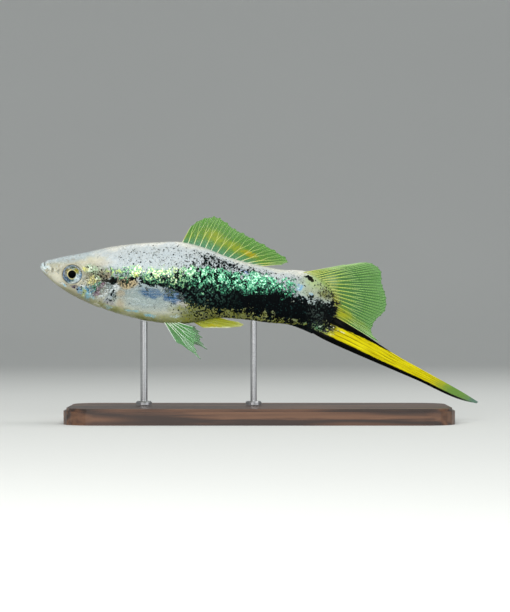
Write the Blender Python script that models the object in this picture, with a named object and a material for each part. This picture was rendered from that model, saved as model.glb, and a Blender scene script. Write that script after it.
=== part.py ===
"""A life-size male swordtail as a still display model on a flat stand, built in Blender 4.5.

The fish looks along -X and shows its left side to -Y, with its tail a little lower than its snout.
Sizes below are in millimetres. Along the fish they are measured back from the tip of the snout,
and heights are measured up from it, so that one place on the fish is one pair of numbers.
The origin is on the floor, under the middle of the whole length.
"""

import math

import bmesh
import bpy
import numpy as np
from mathutils import Matrix, Vector

MM = 0.001
GAP = 0.3  # left between pieces that touch

# The whole model
TOTAL_LENGTH = 109.6  # snout to the tip of the sword
SWORD_DEPTH = 34.35  # how far the sword's lowest point hangs below the snout
FLOOR_CLEARANCE = 4.6  # under the sword's lowest point
SNOUT_X = -TOTAL_LENGTH / 2
SNOUT_HEIGHT = SWORD_DEPTH + FLOOR_CLEARANCE

# Body: (distance behind the snout, value), joined by a smooth curve
BACK = ((0.0, -0.15), (0.4, 0.5), (1.6, 0.95), (2.6, 1.6), (5.2, 2.2), (11.2, 3.35), (17.2, 4.68), (23.2, 5.5),
        (29.2, 5.93), (35.2, 6.0), (41.0, 4.6), (47.2, 2.2), (53.4, 0.5), (63.8, -1.38), (78.0, -2.2))
BELLY = ((0.0, -0.15), (0.45, -1.1), (1.9, -2.75), (5.2, -5.5), (9.2, -7.95), (15.2, -10.45), (21.6, -12.5),
         (28.0, -13.9), (34.0, -14.5), (38.5, -14.15), (44.2, -13.0), (50.2, -13.3), (57.4, -14.2),
         (62.4, -14.7), (66.7, -16.2), (70.0, -17.8), (78.0, -21.5))
HALF_WIDTH = ((0.0, 1.9), (2.0, 2.45), (4.0, 3.05), (8.4, 4.1), (13.0, 4.8), (19.0, 5.2), (25.0, 5.3), (31.0, 5.05),
              (37.0, 4.45), (44.0, 3.6), (50.0, 3.0), (57.0, 2.45), (63.0, 1.95), (68.0, 1.45), (72.0, 0.95),
              (78.0, 0.6))
WIDEST_LEVEL = ((0.0, -0.3), (4.0, -1.3), (8.4, -2.1), (15.0, -3.2), (25.0, -3.8), (35.0, -4.2), (45.0, -5.0),
                (55.0, -6.2), (65.0, -8.0), (78.0, -10.2))
SQUARENESS_ABOVE = ((0.0, 2.2), (6.0, 2.6), (14.0, 2.5), (24.0, 2.1), (40.0, 2.0), (78.0, 2.0))
SQUARENESS_BELOW = ((0.0, 2.2), (10.0, 2.1), (24.0, 2.2), (40.0, 2.0), (78.0, 2.0))
SNOUT_ROUNDING = 1.6  # length over which the snout widens, seen from above
FLESH_LENGTH = 77.0  # past the end of the flesh, which is then cut to the tail fin's root
FLESH_RINGS = 37
FLESH_SIDES = 28
RING_CROWDING = 1.6  # above 1, the rings stand closer near the snout

# Cuts that part the body into its nodes
GILL_CENTRE = (7.7, -3.1)  # the head's rear edge is an arc about this point
HEAD_RADIUS = 10.4
COVER_INNER_RADIUS = 4.9
COVER_FROM, COVER_TO = -66.0, 24.0  # degrees above the line straight back
COVER_THICKNESS = 0.8
COVER_PROUD = 0.12
COVER_SIDE_LIMIT = 1.2  # the covers stop this far from the middle of the throat
STALK_START = 57.8
MOUTH_NOTCH = (1.5, 0.57)  # where the two lips part, in profile
MOUTH_CHIN = (4.45, -4.85)  # where the jaw's cut leaves the chin

# Head details
EYE_PLACE = (8.42, -2.1)
EYE_RADIUS = 2.6
EYE_HALF_DEPTH = 1.6
EYE_PROUD = 0.75
UPPER_LIP = (2.05, 1.2)
UPPER_LIP_RADIUS = 0.5
LOWER_LIP = (0.68, 0.12)
LOWER_LIP_RADIUS = 0.62
MOUTH_CORNER = (2.45, -0.95)
MOUTH_HALF_WIDTH = 2.1
LIP_SWEEP = 84  # degrees each lip turns from the front to its corner
LIP_DROP = 1.3  # above 1, a lip stays level at the front and falls late
LIP_AT_CORNER = 0.45  # its thickness there, as a share of that at the front
LIP_RINGS = 13
NOSTRILS = ((3.6, -0.83, 0.34), (4.75, -1.2, 0.3))  # back, up, radius
BARREL_SIDES = 14

# The edge of the tail's flesh, from the back round to the belly, where the tail's rays begin
TAIL_EDGE = ((65.9, -1.2), (69.2, -2.2), (72.0, -3.9), (73.6, -6.3), (74.2, -9.6), (73.8, -12.4), (72.2, -14.9),
             (70.0, -16.5), (67.9, -16.9))
SWORD_SHARE = 0.66  # how far round that edge the fan ends and the sword begins

# Fins: the membrane's thickness at the root and tip, and how far each ray stands out of it on each side
WEB_AT_ROOT, WEB_AT_TIP = 0.62, 0.5
RAY_RELIEF = 0.13

DORSAL_ROOT = (35.5, 54.2)  # along the back
DORSAL_RAYS = 14
DORSAL_MARGIN = ((37.9, 10.1), (40.0, 11.6), (43.4, 12.5), (45.6, 11.8), (48.4, 9.6), (51.4, 8.0), (55.2, 5.9),
                 (59.0, 3.8), (62.2, 1.4), (60.6, 0.35))
DORSAL_SWAY, DORSAL_WAVE = 0.5, 2.2  # how far its margin waves from side to side, and half-waves along it
FAN_RAYS = 14
FAN_MARGIN = ((76.5, 0.35), (83.4, 0.5), (85.2, -0.9), (85.6, -4.3), (86.6, -7.6), (86.5, -10.9), (83.6, -14.2),
              (82.9, -16.4), (84.9, -18.6))
FAN_BOW = 0.9  # how far the fan's rear edge swings to the fish's right
FAN_BOW_FROM, FAN_BOW_SPAN = 0.15, 0.7  # the part of one half-wave that it follows from top to bottom
SWORD_RAYS = 5
SWORD_ROWS = 15
SWORD_LOWER = ((67.9, -16.9), (73.4, -19.5), (80.1, -22.5), (93.5, -28.2), (106.9, -33.9), (109.2, -34.35))
SWORD_UPPER = ((74.3, -13.0), (80.0, -16.4), (90.1, -22.9), (96.8, -26.6), (106.9, -32.3), (109.6, -34.0))
SWORD_THICKNESS = 0.72
SWORD_THINNING = 0.3  # the share of it lost towards the tip
SWORD_GAP_SHARE = 0.035  # left free on the tail's edge between the sword and the fan
SWORD_BOW = 0.6  # how far the tip swings to the fish's right
SWORD_ROOT_HOLD = 8  # the higher this is, the sooner the sword leaves the flesh's own curve
ANAL_ROOT = (38.3, 43.6)
ANAL_RAYS = 5
ANAL_MARGIN = ((40.9, -15.5), (47.4, -15.45), (50.9, -14.9), (49.9, -14.1), (47.9, -13.75))
PECTORAL_RAYS = 10
PECTORAL_ROOT = ((19.35, -5.9), (19.5, -7.1), (19.95, -8.3))
PECTORAL_MARGIN = ((30.0, -5.5), (34.0, -6.0), (36.4, -7.4), (36.2, -9.3), (33.2, -10.8), (28.6, -11.5), (24.0, -11.0))
PECTORAL_MIDDLE_LEVEL = -7.5
PECTORAL_CLEARANCE = 0.5
PECTORAL_FLARE = 1.2
PELVIC_RAYS = 6
PELVIC_ROOT = (31.0, 33.8)
PELVIC_LEFT = ((34.2, -19.0), (40.3, -23.3), (39.3, -21.2), (39.5, -18.9), (39.3, -17.0), (38.5, -15.3))
PELVIC_RIGHT = ((35.6, -18.9), (41.8, -21.0), (41.0, -19.8), (40.6, -18.0), (40.0, -16.5), (38.9, -15.2))
PELVIC_ROOT_SIDE = 1.0
PELVIC_FLARE = 2.6
PELVIC_FLARE_LOST = 0.35  # towards its rear ray

# Stand
BASE_LENGTH, BASE_WIDTH, BASE_HEIGHT = 96.0, 40.0, 4.0
BASE_CORNER = 8.0
BASE_EDGE = 0.7
ROD_PLACES = (("stand_rod_front", 26.0, 0.9), ("stand_rod_rear", 53.4, 0.8))  # name, place along the fish, radius
ROD_FOOT_RADIUS, ROD_FOOT_HEIGHT = 2.0, 0.9
ROD_FOOT_CHAMFER = 0.3
ROD_SIDES = 20


def clear_scene():
    for obj in list(bpy.data.objects):
        bpy.data.objects.remove(obj, do_unlink=True)


def make_material(name, colour, roughness=0.45, metallic=0.0, alpha=1.0):
    material = bpy.data.materials.new(name)
    material.use_nodes = True
    shader = material.node_tree.nodes["Principled BSDF"]
    shader.inputs["Base Color"].default_value = (*colour, 1.0)
    shader.inputs["Roughness"].default_value = roughness
    shader.inputs["Metallic"].default_value = metallic
    shader.inputs["Alpha"].default_value = alpha
    return material


def smooth_curve(points):
    """A function of one number through the given (place, value) points, with no corners."""
    places = np.array([p[0] for p in points], float)
    values = np.array([p[1] for p in points], float)
    slopes = np.gradient(values, places)

    def at(place):
        place = np.clip(place, places[0], places[-1])
        i = np.clip(np.searchsorted(places, place) - 1, 0, len(places) - 2)
        span = places[i + 1] - places[i]
        t = (place - places[i]) / span
        start = (1 + 2 * t) * (1 - t) ** 2 * values[i] + t * (1 - t) ** 2 * span * slopes[i]
        end = t * t * (3 - 2 * t) * values[i + 1] + t * t * (t - 1) * span * slopes[i + 1]
        return float(start + end)

    return at


def path_through(points):
    """A function of 0 to 1 along a smooth path through the points, even by length."""
    points = np.array(points, float)
    length = np.concatenate([[0], np.cumsum(np.linalg.norm(np.diff(points, axis=0), axis=1))])
    share = length / length[-1]
    columns = [smooth_curve(list(zip(share, points[:, k]))) for k in range(points.shape[1])]
    return lambda t: np.array([column(t) for column in columns])


def steps_through(points):
    """A function of 0 to 1 through the points, one equal step from each to the next."""
    count = len(points) - 1
    columns = [smooth_curve([(i / count, p[k]) for i, p in enumerate(points)]) for k in range(2)]
    return lambda t: np.array([column(t) for column in columns])


back = smooth_curve(BACK)
belly = smooth_curve(BELLY)
widest_level = smooth_curve(WIDEST_LEVEL)
squareness_above = smooth_curve(SQUARENESS_ABOVE)
squareness_below = smooth_curve(SQUARENESS_BELOW)
plain_half_width = smooth_curve(HALF_WIDTH)


def half_width(along):
    rounding = 1 - min(along / SNOUT_ROUNDING, 1.0)
    return plain_half_width(along) * math.sqrt(max(1 - rounding * rounding, 0.0))


def flank(along, up):
    """Half the body's thickness at one place in profile."""
    level = widest_level(along)
    if up >= level:
        share, n = (up - level) / (back(along) - level), squareness_above(along)
    else:
        share, n = (level - up) / (level - belly(along)), squareness_below(along)
    return half_width(along) * max(1 - min(share, 1.0) ** n, 0.0) ** (1 / n)


def underside(along, side):
    """The height of the body's lower surface, this far to one side of its middle."""
    level, n = widest_level(along), squareness_below(along)
    share = min(abs(side) / half_width(along), 1.0)
    return level - (level - belly(along)) * (1 - share**n) ** (1 / n)


def place(along, side, up):
    """From the fish's own millimetres to the model's metres."""
    return Vector(((SNOUT_X + along) * MM, side * MM, (SNOUT_HEIGHT + up) * MM))


def mesh_object(name, corners, faces, material):
    mesh = bpy.data.meshes.new(name)
    mesh.from_pydata([tuple(c) for c in corners], [], faces)
    mesh.materials.append(material)
    mesh.validate()
    obj = bpy.data.objects.new(name, mesh)
    bpy.context.scene.collection.objects.link(obj)
    return obj


def smooth_shade(obj, degrees=50):
    obj.data.shade_smooth()
    obj.data.set_sharp_from_angle(angle=math.radians(degrees))


def close_rings(rings, start_pole=None, end_pole=None):
    """Corners and faces of a closed tube through rings of equal size, its ends closed to a pole each."""
    sides = len(rings[0])
    corners = [c for ring in rings for c in ring]
    faces = []
    for r in range(len(rings) - 1):
        for k in range(sides):
            a, b = r * sides + k, r * sides + (k + 1) % sides
            faces.append((a, b, b + sides, a + sides))
    last = (len(rings) - 1) * sides
    start, end = len(corners), len(corners) + 1
    corners += [
        start_pole if start_pole is not None else sum(rings[0], Vector()) / sides,
        end_pole if end_pole is not None else sum(rings[-1], Vector()) / sides,
    ]
    for k in range(sides):
        following = (k + 1) % sides
        faces.append((start, following, k))
        faces.append((end, last + k, last + following))
    return corners, faces


def face_outwards(obj):
    shape = bmesh.new()
    shape.from_mesh(obj.data)
    bmesh.ops.recalc_face_normals(shape, faces=shape.faces)
    shape.to_mesh(obj.data)
    shape.free()


def flesh_ring(along, grown):
    """One cross-section of the body, a rounded form fuller above its widest level than an oval."""
    level = widest_level(along)
    width = max(half_width(along) + grown, 0.05)
    ring = []
    for k in range(FLESH_SIDES):
        angle = 2 * math.pi * k / FLESH_SIDES
        c, s = math.cos(angle), math.sin(angle)
        n = squareness_above(along) if s >= 0 else squareness_below(along)
        height = (back(along) - level if s >= 0 else level - belly(along)) + grown
        side = math.copysign(abs(c) ** (2 / n), c) * width
        up = level + math.copysign(abs(s) ** (2 / n), s) * max(height, 0.05)
        ring.append(place(along, side, up))
    return ring


def flesh(name, material, grown=0.0):
    """The whole body from snout to tail as one closed form, or the same form grown by a margin."""
    rings = []
    for i in range(FLESH_RINGS):
        share = ((i + 0.35) / (FLESH_RINGS - 0.65)) ** RING_CROWDING
        rings.append(flesh_ring(share * FLESH_LENGTH, grown))
    tip = place(-grown * 0.9, 0, BACK[0][1])
    corners, faces = close_rings(rings, start_pole=tip)
    obj = mesh_object(name, corners, faces, material)
    face_outwards(obj)
    return obj


def prism(name, outline, half_depth, side=0.0):
    """A closed block with the given profile outline, running from side to side through the fish."""
    count = len(outline)
    near = [place(a, side - half_depth, u) for a, u in outline]
    far = [place(a, side + half_depth, u) for a, u in outline]
    faces = [tuple(range(count)), tuple(range(2 * count - 1, count - 1, -1))]
    for k in range(count):
        following = (k + 1) % count
        faces.append((k, k + count, following + count, following))
    obj = mesh_object(name, near + far, faces, bpy.data.materials["cutter"])
    face_outwards(obj)
    return obj


def arc(centre, radius, start, end, count):
    """Points on an arc, its angles in degrees above the line straight back from the centre."""
    angles = [math.radians(start + (end - start) * i / (count - 1)) for i in range(count)]
    return [(centre[0] + radius * math.cos(a), centre[1] + radius * math.sin(a)) for a in angles]


def boolean(obj, other, operation, solver="EXACT"):
    """Cuts, keeps or joins, applies it, and removes the other object."""
    modifier = obj.modifiers.new(operation.lower(), "BOOLEAN")
    modifier.operation = operation
    modifier.solver = solver
    modifier.object = other
    bpy.context.view_layer.update()
    graph = bpy.context.evaluated_depsgraph_get()
    mesh = bpy.data.meshes.new_from_object(obj.evaluated_get(graph))
    obj.modifiers.clear()
    obj.data = mesh
    bpy.data.objects.remove(other, do_unlink=True)
    return obj


def join_pieces(obj, pieces):
    """Fuses closed pieces into obj with one union, and keeps the largest closed surface."""
    group = bpy.data.collections.new(obj.name + "_pieces")
    bpy.context.scene.collection.children.link(group)
    for piece in pieces:
        bpy.context.scene.collection.objects.unlink(piece)
        group.objects.link(piece)
    modifier = obj.modifiers.new("join", "BOOLEAN")
    modifier.operation = "UNION"
    modifier.solver = "EXACT"
    modifier.operand_type = "COLLECTION"
    modifier.collection = group
    bpy.context.view_layer.update()
    graph = bpy.context.evaluated_depsgraph_get()
    mesh = bpy.data.meshes.new_from_object(obj.evaluated_get(graph))
    obj.modifiers.clear()
    obj.data = mesh
    for piece in pieces:
        bpy.data.objects.remove(piece, do_unlink=True)
    bpy.data.collections.remove(group)
    keep_largest(obj)
    return obj


def keep_largest(obj):
    shape = bmesh.new()
    shape.from_mesh(obj.data)
    shape.verts.ensure_lookup_table()
    seen, groups = set(), []
    for vert in shape.verts:
        if vert in seen:
            continue
        group, waiting = [], [vert]
        seen.add(vert)
        while waiting:
            here = waiting.pop()
            group.append(here)
            for edge in here.link_edges:
                other = edge.other_vert(here)
                if other not in seen:
                    seen.add(other)
                    waiting.append(other)
        groups.append(group)
    groups.sort(key=len)
    loose = [vert for group in groups[:-1] for vert in group]
    bmesh.ops.delete(shape, geom=loose, context="VERTS")
    shape.to_mesh(obj.data)
    shape.free()


def tube(name, path, radius, count, material, squash=1.0):
    """A closed bent tube along a path given as a function of 0 to 1, with a radius that follows it."""
    rings = []
    sides = 10
    for i in range(count):
        t = i / (count - 1)
        here = Vector(path(t))
        ahead = (Vector(path(min(t + 0.02, 1))) - Vector(path(max(t - 0.02, 0)))).normalized()
        across = ahead.cross(Vector((0, 0, 1))).normalized()
        upward = across.cross(ahead).normalized()
        r = radius(t)
        ring = []
        for k in range(sides):
            angle = 2 * math.pi * k / sides
            offset = across * (math.cos(angle) * r * squash) + upward * (math.sin(angle) * r)
            ring.append(place(*(here + offset)))
        rings.append(ring)
    corners, faces = close_rings(rings)
    obj = mesh_object(name, corners, faces, material)
    face_outwards(obj)
    return obj


def lip(name, front, radius, material):
    """A rounded lip, bent round the front of the mouth from one corner to the other."""

    def path(t):
        turn = math.radians(LIP_SWEEP * (2 * t - 1))
        back_share = 1 - math.cos(turn)
        along = front[0] + (MOUTH_CORNER[0] - front[0]) * back_share
        up = front[1] + (MOUTH_CORNER[1] - front[1]) * back_share**LIP_DROP
        return (along, MOUTH_HALF_WIDTH * math.sin(turn), up)

    def thickness(t):
        return radius * (LIP_AT_CORNER + (1 - LIP_AT_CORNER) * math.sin(math.pi * t) ** 0.5)

    return tube(name, path, thickness, LIP_RINGS, material)


def mouth_side(name, front, gap):
    """A big block on one side of the sloping cut that parts the lower jaw from the head."""
    notch, chin = Vector(MOUTH_NOTCH), Vector(MOUTH_CHIN)
    slope = (chin - notch).normalized()
    across = Vector((-slope.y, slope.x)) * (-1 if front else 1)
    start = notch - slope * 8 + across * gap / 2
    end = chin + slope * 10 + across * gap / 2
    far = 90
    outline = [start, end, end + across * far, start + across * far]
    return prism(name, [tuple(p) for p in outline], 20)


def gill_sector(name, grown, side):
    """The block that holds one gill cover: part of a ring about the centre of the head's rear edge."""
    margin = math.degrees(grown / HEAD_RADIUS)
    inner, outer = COVER_INNER_RADIUS - grown, HEAD_RADIUS + (3 if grown else 0)
    outline = arc(GILL_CENTRE, outer, COVER_FROM - margin, COVER_TO + margin, 14)
    outline += arc(GILL_CENTRE, inner, COVER_TO + 1.7 * margin, COVER_FROM - 1.7 * margin, 9)
    depth = 8.0
    return prism(name, outline, depth, side * (COVER_SIDE_LIMIT + depth - grown))


def head_region(name, radius):
    """Everything in front of the head's rear edge: a disc about the gill centre and all before it."""
    outline = arc(GILL_CENTRE, radius, -90, 90, 25)
    outline += [(GILL_CENTRE[0], 20.0), (-20.0, 20.0), (-20.0, -25.0), (GILL_CENTRE[0], -25.0)]
    return prism(name, outline, 15)


def slice_between(name, start, end):
    """Everything between two distances behind the snout."""
    return prism(name, [(start, 30), (end, 30), (end, -60), (start, -60)], 15)


def tail_region(name, inset):
    """Everything in front of the tail's curved flesh edge."""
    edge = path_through(TAIL_EDGE)
    outline = []
    count = 22
    for i in range(count):
        t = i / (count - 1)
        here = edge(t)
        ahead = edge(min(t + 0.01, 1)) - edge(max(t - 0.01, 0))
        normal = np.array([ahead[1], -ahead[0]]) / np.linalg.norm(ahead)
        outline.append(tuple(here + normal * inset))
    outline += [(60.0, -40.0), (30.0, -40.0), (30.0, 20.0), (60.0, 20.0)]
    return prism(name, outline, 15)


def eye_centre_side():
    return flank(*EYE_PLACE) + EYE_PROUD - EYE_HALF_DEPTH


def eyeball(name, side, grown, material):
    bpy.ops.mesh.primitive_uv_sphere_add(segments=20, ring_count=12, radius=1)
    ball = bpy.context.object
    ball.name = name
    ball.data.name = name
    radius = (EYE_RADIUS + grown) * MM
    turn = Matrix.Rotation(math.radians(90), 4, "X")
    grow = Matrix.Diagonal((radius, (EYE_HALF_DEPTH + grown) * MM, radius, 1))
    ball.data.transform(grow @ turn)
    ball.location = place(EYE_PLACE[0], side * eye_centre_side(), EYE_PLACE[1])
    ball.data.materials.append(material)
    smooth_shade(ball)
    return ball


def nostril_cutter(name, along, up, radius, side):
    bpy.ops.mesh.primitive_ico_sphere_add(subdivisions=1, radius=radius * MM)
    pit = bpy.context.object
    pit.name = name
    pit.location = place(along, side * flank(along, up), up)
    pit.data.materials.append(bpy.data.materials["cutter"])
    return pit


def make_head(skin):
    head = flesh("head", skin)
    boolean(head, head_region("cut", HEAD_RADIUS), "INTERSECT")
    boolean(head, mouth_side("cut", False, GAP), "INTERSECT")
    for side in (-1, 1):
        recess = gill_sector("recess", GAP, side)
        core = flesh("core", skin, -COVER_THICKNESS - GAP)
        boolean(recess, core, "DIFFERENCE")
        boolean(head, recess, "DIFFERENCE")
    join_pieces(head, [lip("upper_lip", UPPER_LIP, UPPER_LIP_RADIUS, skin)])
    boolean(head, mouth_side("cut", False, GAP), "INTERSECT")
    for side in (-1, 1):
        boolean(head, eyeball("socket", side, GAP, skin), "DIFFERENCE")
        for along, up, radius in NOSTRILS:
            boolean(head, nostril_cutter("nostril", along, up, radius, side), "DIFFERENCE")
    keep_largest(head)
    smooth_shade(head)


def make_jaw(skin):
    jaw = flesh("lower_jaw", skin)
    join_pieces(jaw, [lip("lower_lip", LOWER_LIP, LOWER_LIP_RADIUS, skin)])
    boolean(jaw, mouth_side("cut", True, GAP), "INTERSECT")
    keep_largest(jaw)
    smooth_shade(jaw)


def make_gill_cover(name, side, skin):
    cover = flesh(name, skin, COVER_PROUD)
    boolean(cover, gill_sector("cut", 0.0, side), "INTERSECT")
    boolean(cover, flesh("core", skin, -COVER_THICKNESS), "DIFFERENCE")
    keep_largest(cover)
    smooth_shade(cover)


def make_trunk(skin):
    trunk = flesh("trunk", skin)
    boolean(trunk, head_region("cut", HEAD_RADIUS + GAP), "DIFFERENCE")
    boolean(trunk, slice_between("cut", -10, STALK_START), "INTERSECT")
    keep_largest(trunk)
    smooth_shade(trunk)


def make_tail_stalk(skin):
    stalk = flesh("tail_stalk", skin)
    boolean(stalk, slice_between("cut", STALK_START + GAP, 90), "INTERSECT")
    boolean(stalk, tail_region("cut", 0.0), "INTERSECT")
    keep_largest(stalk)
    smooth_shade(stalk)


def ray_height(share, v, branched):
    """How far the surface stands out near a ray, which splits in two towards its tip.

    share is the place between two rays, in quarters: 0 on a ray, 2 half-way to the next."""
    split = 0.0
    if branched:
        t = min(max((v - 0.4) / 0.3, 0.0), 1.0)
        split = t * t * (3 - 2 * t)
    on_ray, beside = 1 - 0.6 * split, 0.1 + 0.9 * split
    return (on_ray, beside, 0.0, beside)[share]


def ribbed_sheet(name, spot, half_thickness, rays, rows, material):
    """A thin closed sheet whose rays stand out as ridges on both faces.

    spot(u, v) is the sheet's middle: back, side and up, with u across the rays and v along them.
    Both faces are split into the same triangles."""
    columns = (rays - 1) * 4 + 1
    near, far = [], []
    for c in range(columns):
        for r in range(rows):
            v = r / (rows - 1)
            along, side, up = spot(c / (columns - 1), v)
            half = half_thickness(c % 4, v)
            near.append(place(along, side - half, up))
            far.append(place(along, side + half, up))
    behind = len(near)
    faces = []
    for c in range(columns - 1):
        for r in range(rows - 1):
            a = c * rows + r
            b, d, e = a + rows, a + rows + 1, a + 1
            for corner in ((a, b, d), (a, d, e)):
                faces.append(corner)
                faces.append(tuple(i + behind for i in reversed(corner)))
    last = (columns - 1) * rows
    rim = list(range(rows))
    rim += [c * rows + rows - 1 for c in range(1, columns)]
    rim += [last + r for r in range(rows - 2, -1, -1)]
    rim += [c * rows for c in range(columns - 2, 0, -1)]
    for i, a in enumerate(rim):
        b = rim[(i + 1) % len(rim)]
        faces.append((a, b, b + behind))
        faces.append((a, b + behind, a + behind))
    obj = mesh_object(name, near + far, faces, material)
    face_outwards(obj)
    smooth_shade(obj)
    return obj


def blade(name, root, margin, rays, rows, material, side=None, branched=True, notch=0.06, web=1.0, bend=0.0):
    """A fin whose rays run from its root to its margin, both given as functions of 0 to 1 in profile.

    side gives the fin's middle from side to side, notch how far the web falls back between two rays' tips,
    and bend how far each ray bows out of its straight line."""
    steps = (rays - 1) * 4

    def spot(u, v):
        start, end = root(u), margin(u)
        reach = 1 - notch * math.sin(math.pi * (round(u * steps) % 4) / 4) ** 2
        across = np.array([start[1] - end[1], end[0] - start[0]])
        here = start + (end - start) * v * reach + across * bend * v * (1 - v)
        return here[0], side(here, u, v) if side else 0.0, here[1]

    def half_thickness(share, v):
        thick = web * (WEB_AT_ROOT + (WEB_AT_TIP - WEB_AT_ROOT) * v) / 2
        return thick + RAY_RELIEF * ray_height(share, v, branched) * (1 - 0.75 * v)

    return ribbed_sheet(name, spot, half_thickness, rays, rows, material)


def along_back(start, end):
    """The line on the back where the dorsal fin stands, just clear of the skin."""

    def at(t):
        here = start + (end - start) * t
        return np.array([here, back(here) + GAP])

    return at


def along_belly(start, end, side=0.0):
    def at(t):
        here = start + (end - start) * t
        return np.array([here, underside(here, side) - GAP])

    return at


def clear_of_edge(start, end):
    """Part of the tail's flesh edge, moved back off the flesh by the gap."""
    edge = path_through(TAIL_EDGE)

    def at(t):
        here = start + (end - start) * t
        ahead = edge(min(here + 0.01, 1)) - edge(max(here - 0.01, 0))
        normal = np.array([-ahead[1], ahead[0]]) / np.linalg.norm(ahead)
        return edge(here) + normal * GAP

    return at


def make_dorsal_fin(material):
    sway = lambda here, u, v: DORSAL_SWAY * math.sin(DORSAL_WAVE * math.pi * u) * v
    blade("dorsal_fin", along_back(*DORSAL_ROOT), steps_through(DORSAL_MARGIN), DORSAL_RAYS, 7, material,
          side=sway, notch=0.09, bend=0.05)


def make_tail_fan(material):
    bow = lambda here, u, v: FAN_BOW * v * v * math.sin(math.pi * (FAN_BOW_FROM + FAN_BOW_SPAN * u))
    blade("tail_fan", clear_of_edge(0.02, SWORD_SHARE), path_through(FAN_MARGIN), FAN_RAYS, 8, material,
          side=bow, notch=0.03)


def make_sword(material):
    """The tail's long lower rays, side by side from the flesh to a point."""
    lower, upper = path_through(SWORD_LOWER), path_through(SWORD_UPPER)
    edge = clear_of_edge(1.0, SWORD_SHARE + SWORD_GAP_SHARE)

    def spot(u, v):
        free = lower(v) + (upper(v) - lower(v)) * u
        home = edge(u) - (lower(0) + (upper(0) - lower(0)) * u)
        along, up = free + home * (1 - v) ** SWORD_ROOT_HOLD
        return along, SWORD_BOW * v * v, up

    def half_thickness(share, v):
        return SWORD_THICKNESS / 2 * (1 - SWORD_THINNING * v) + RAY_RELIEF * ray_height(share, 0, False) * (1 - v)

    ribbed_sheet("tail_sword", spot, half_thickness, SWORD_RAYS, SWORD_ROWS, material)


def make_anal_fin(material):
    blade("anal_fin", along_belly(*ANAL_ROOT), steps_through(ANAL_MARGIN), ANAL_RAYS, 7, material,
          branched=False, notch=0.03, web=1.3)


def make_pectoral_fin(name, hand, material):
    """A fan held back along the flank. hand is -1 on the fish's left and 1 on its right."""

    def side(here, u, v):
        level = here[1] + (PECTORAL_MIDDLE_LEVEL - here[1]) * 0.5 * v
        inner = max(flank(here[0], here[1]), flank(here[0], level) * v)
        thick = WEB_AT_ROOT / 2 + RAY_RELIEF
        return hand * (inner + GAP + thick + (PECTORAL_CLEARANCE + PECTORAL_FLARE * v) * v)

    blade(name, path_through(PECTORAL_ROOT), path_through(PECTORAL_MARGIN), PECTORAL_RAYS, 6, material,
          side=side, notch=0.04)


def make_pelvic_fin(name, hand, tips, material):
    def side(here, u, v):
        return hand * (PELVIC_ROOT_SIDE + PELVIC_FLARE * v * (1 - PELVIC_FLARE_LOST * u))

    blade(name, along_belly(*PELVIC_ROOT, side=PELVIC_ROOT_SIDE), steps_through(tips), PELVIC_RAYS, 7, material,
          side=side, notch=0.1)


def make_stand_base(material):
    outline = []
    inner_x, inner_y = BASE_LENGTH / 2 - BASE_CORNER, BASE_WIDTH / 2 - BASE_CORNER
    for quarter, (sx, sy) in enumerate(((1, 1), (-1, 1), (-1, -1), (1, -1))):
        for x, y in arc((sx * inner_x, sy * inner_y), BASE_CORNER, quarter * 90, quarter * 90 + 90, 7):
            outline.append((x, y))
    shape = bmesh.new()
    corners = [shape.verts.new((x * MM, y * MM, 0)) for x, y in outline]
    floor = shape.faces.new(corners)
    raised = bmesh.ops.extrude_face_region(shape, geom=[floor])
    top = [v for v in raised["geom"] if isinstance(v, bmesh.types.BMVert)]
    bmesh.ops.translate(shape, verts=top, vec=(0, 0, BASE_HEIGHT * MM))
    bmesh.ops.recalc_face_normals(shape, faces=shape.faces)
    rim = [e for e in shape.edges if all(v.co.z > BASE_HEIGHT * MM / 2 for v in e.verts)]
    bmesh.ops.bevel(shape, geom=rim, offset=BASE_EDGE * MM, segments=2, affect="EDGES")
    mesh = bpy.data.meshes.new("stand_base")
    shape.to_mesh(mesh)
    shape.free()
    mesh.materials.append(material)
    base = bpy.data.objects.new("stand_base", mesh)
    bpy.context.scene.collection.objects.link(base)
    smooth_shade(base, 35)


def make_stand_rod(name, along, radius, material):
    """A rod with a round foot on the base, its top end shaped to the belly above it."""
    foot = BASE_HEIGHT + GAP - SNOUT_HEIGHT
    levels = ((foot, ROD_FOOT_RADIUS), (foot + ROD_FOOT_HEIGHT - ROD_FOOT_CHAMFER, ROD_FOOT_RADIUS),
              (foot + ROD_FOOT_HEIGHT, ROD_FOOT_RADIUS - ROD_FOOT_CHAMFER), (foot + ROD_FOOT_HEIGHT, radius))
    rings = []
    for up, r in levels:
        rings.append([place(along + r * math.cos(a), r * math.sin(a), up) for a in ring_angles()])
    top = []
    for a in ring_angles():
        x, y = along + radius * math.cos(a), radius * math.sin(a)
        top.append(place(x, y, underside(x, y) - GAP))
    rings.append(top)
    corners, faces = close_rings(rings, start_pole=place(along, 0, foot),
                                 end_pole=place(along, 0, underside(along, 0) - GAP))
    rod = mesh_object(name, corners, faces, material)
    face_outwards(rod)
    smooth_shade(rod, 40)


def ring_angles():
    return [2 * math.pi * k / ROD_SIDES for k in range(ROD_SIDES)]


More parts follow.
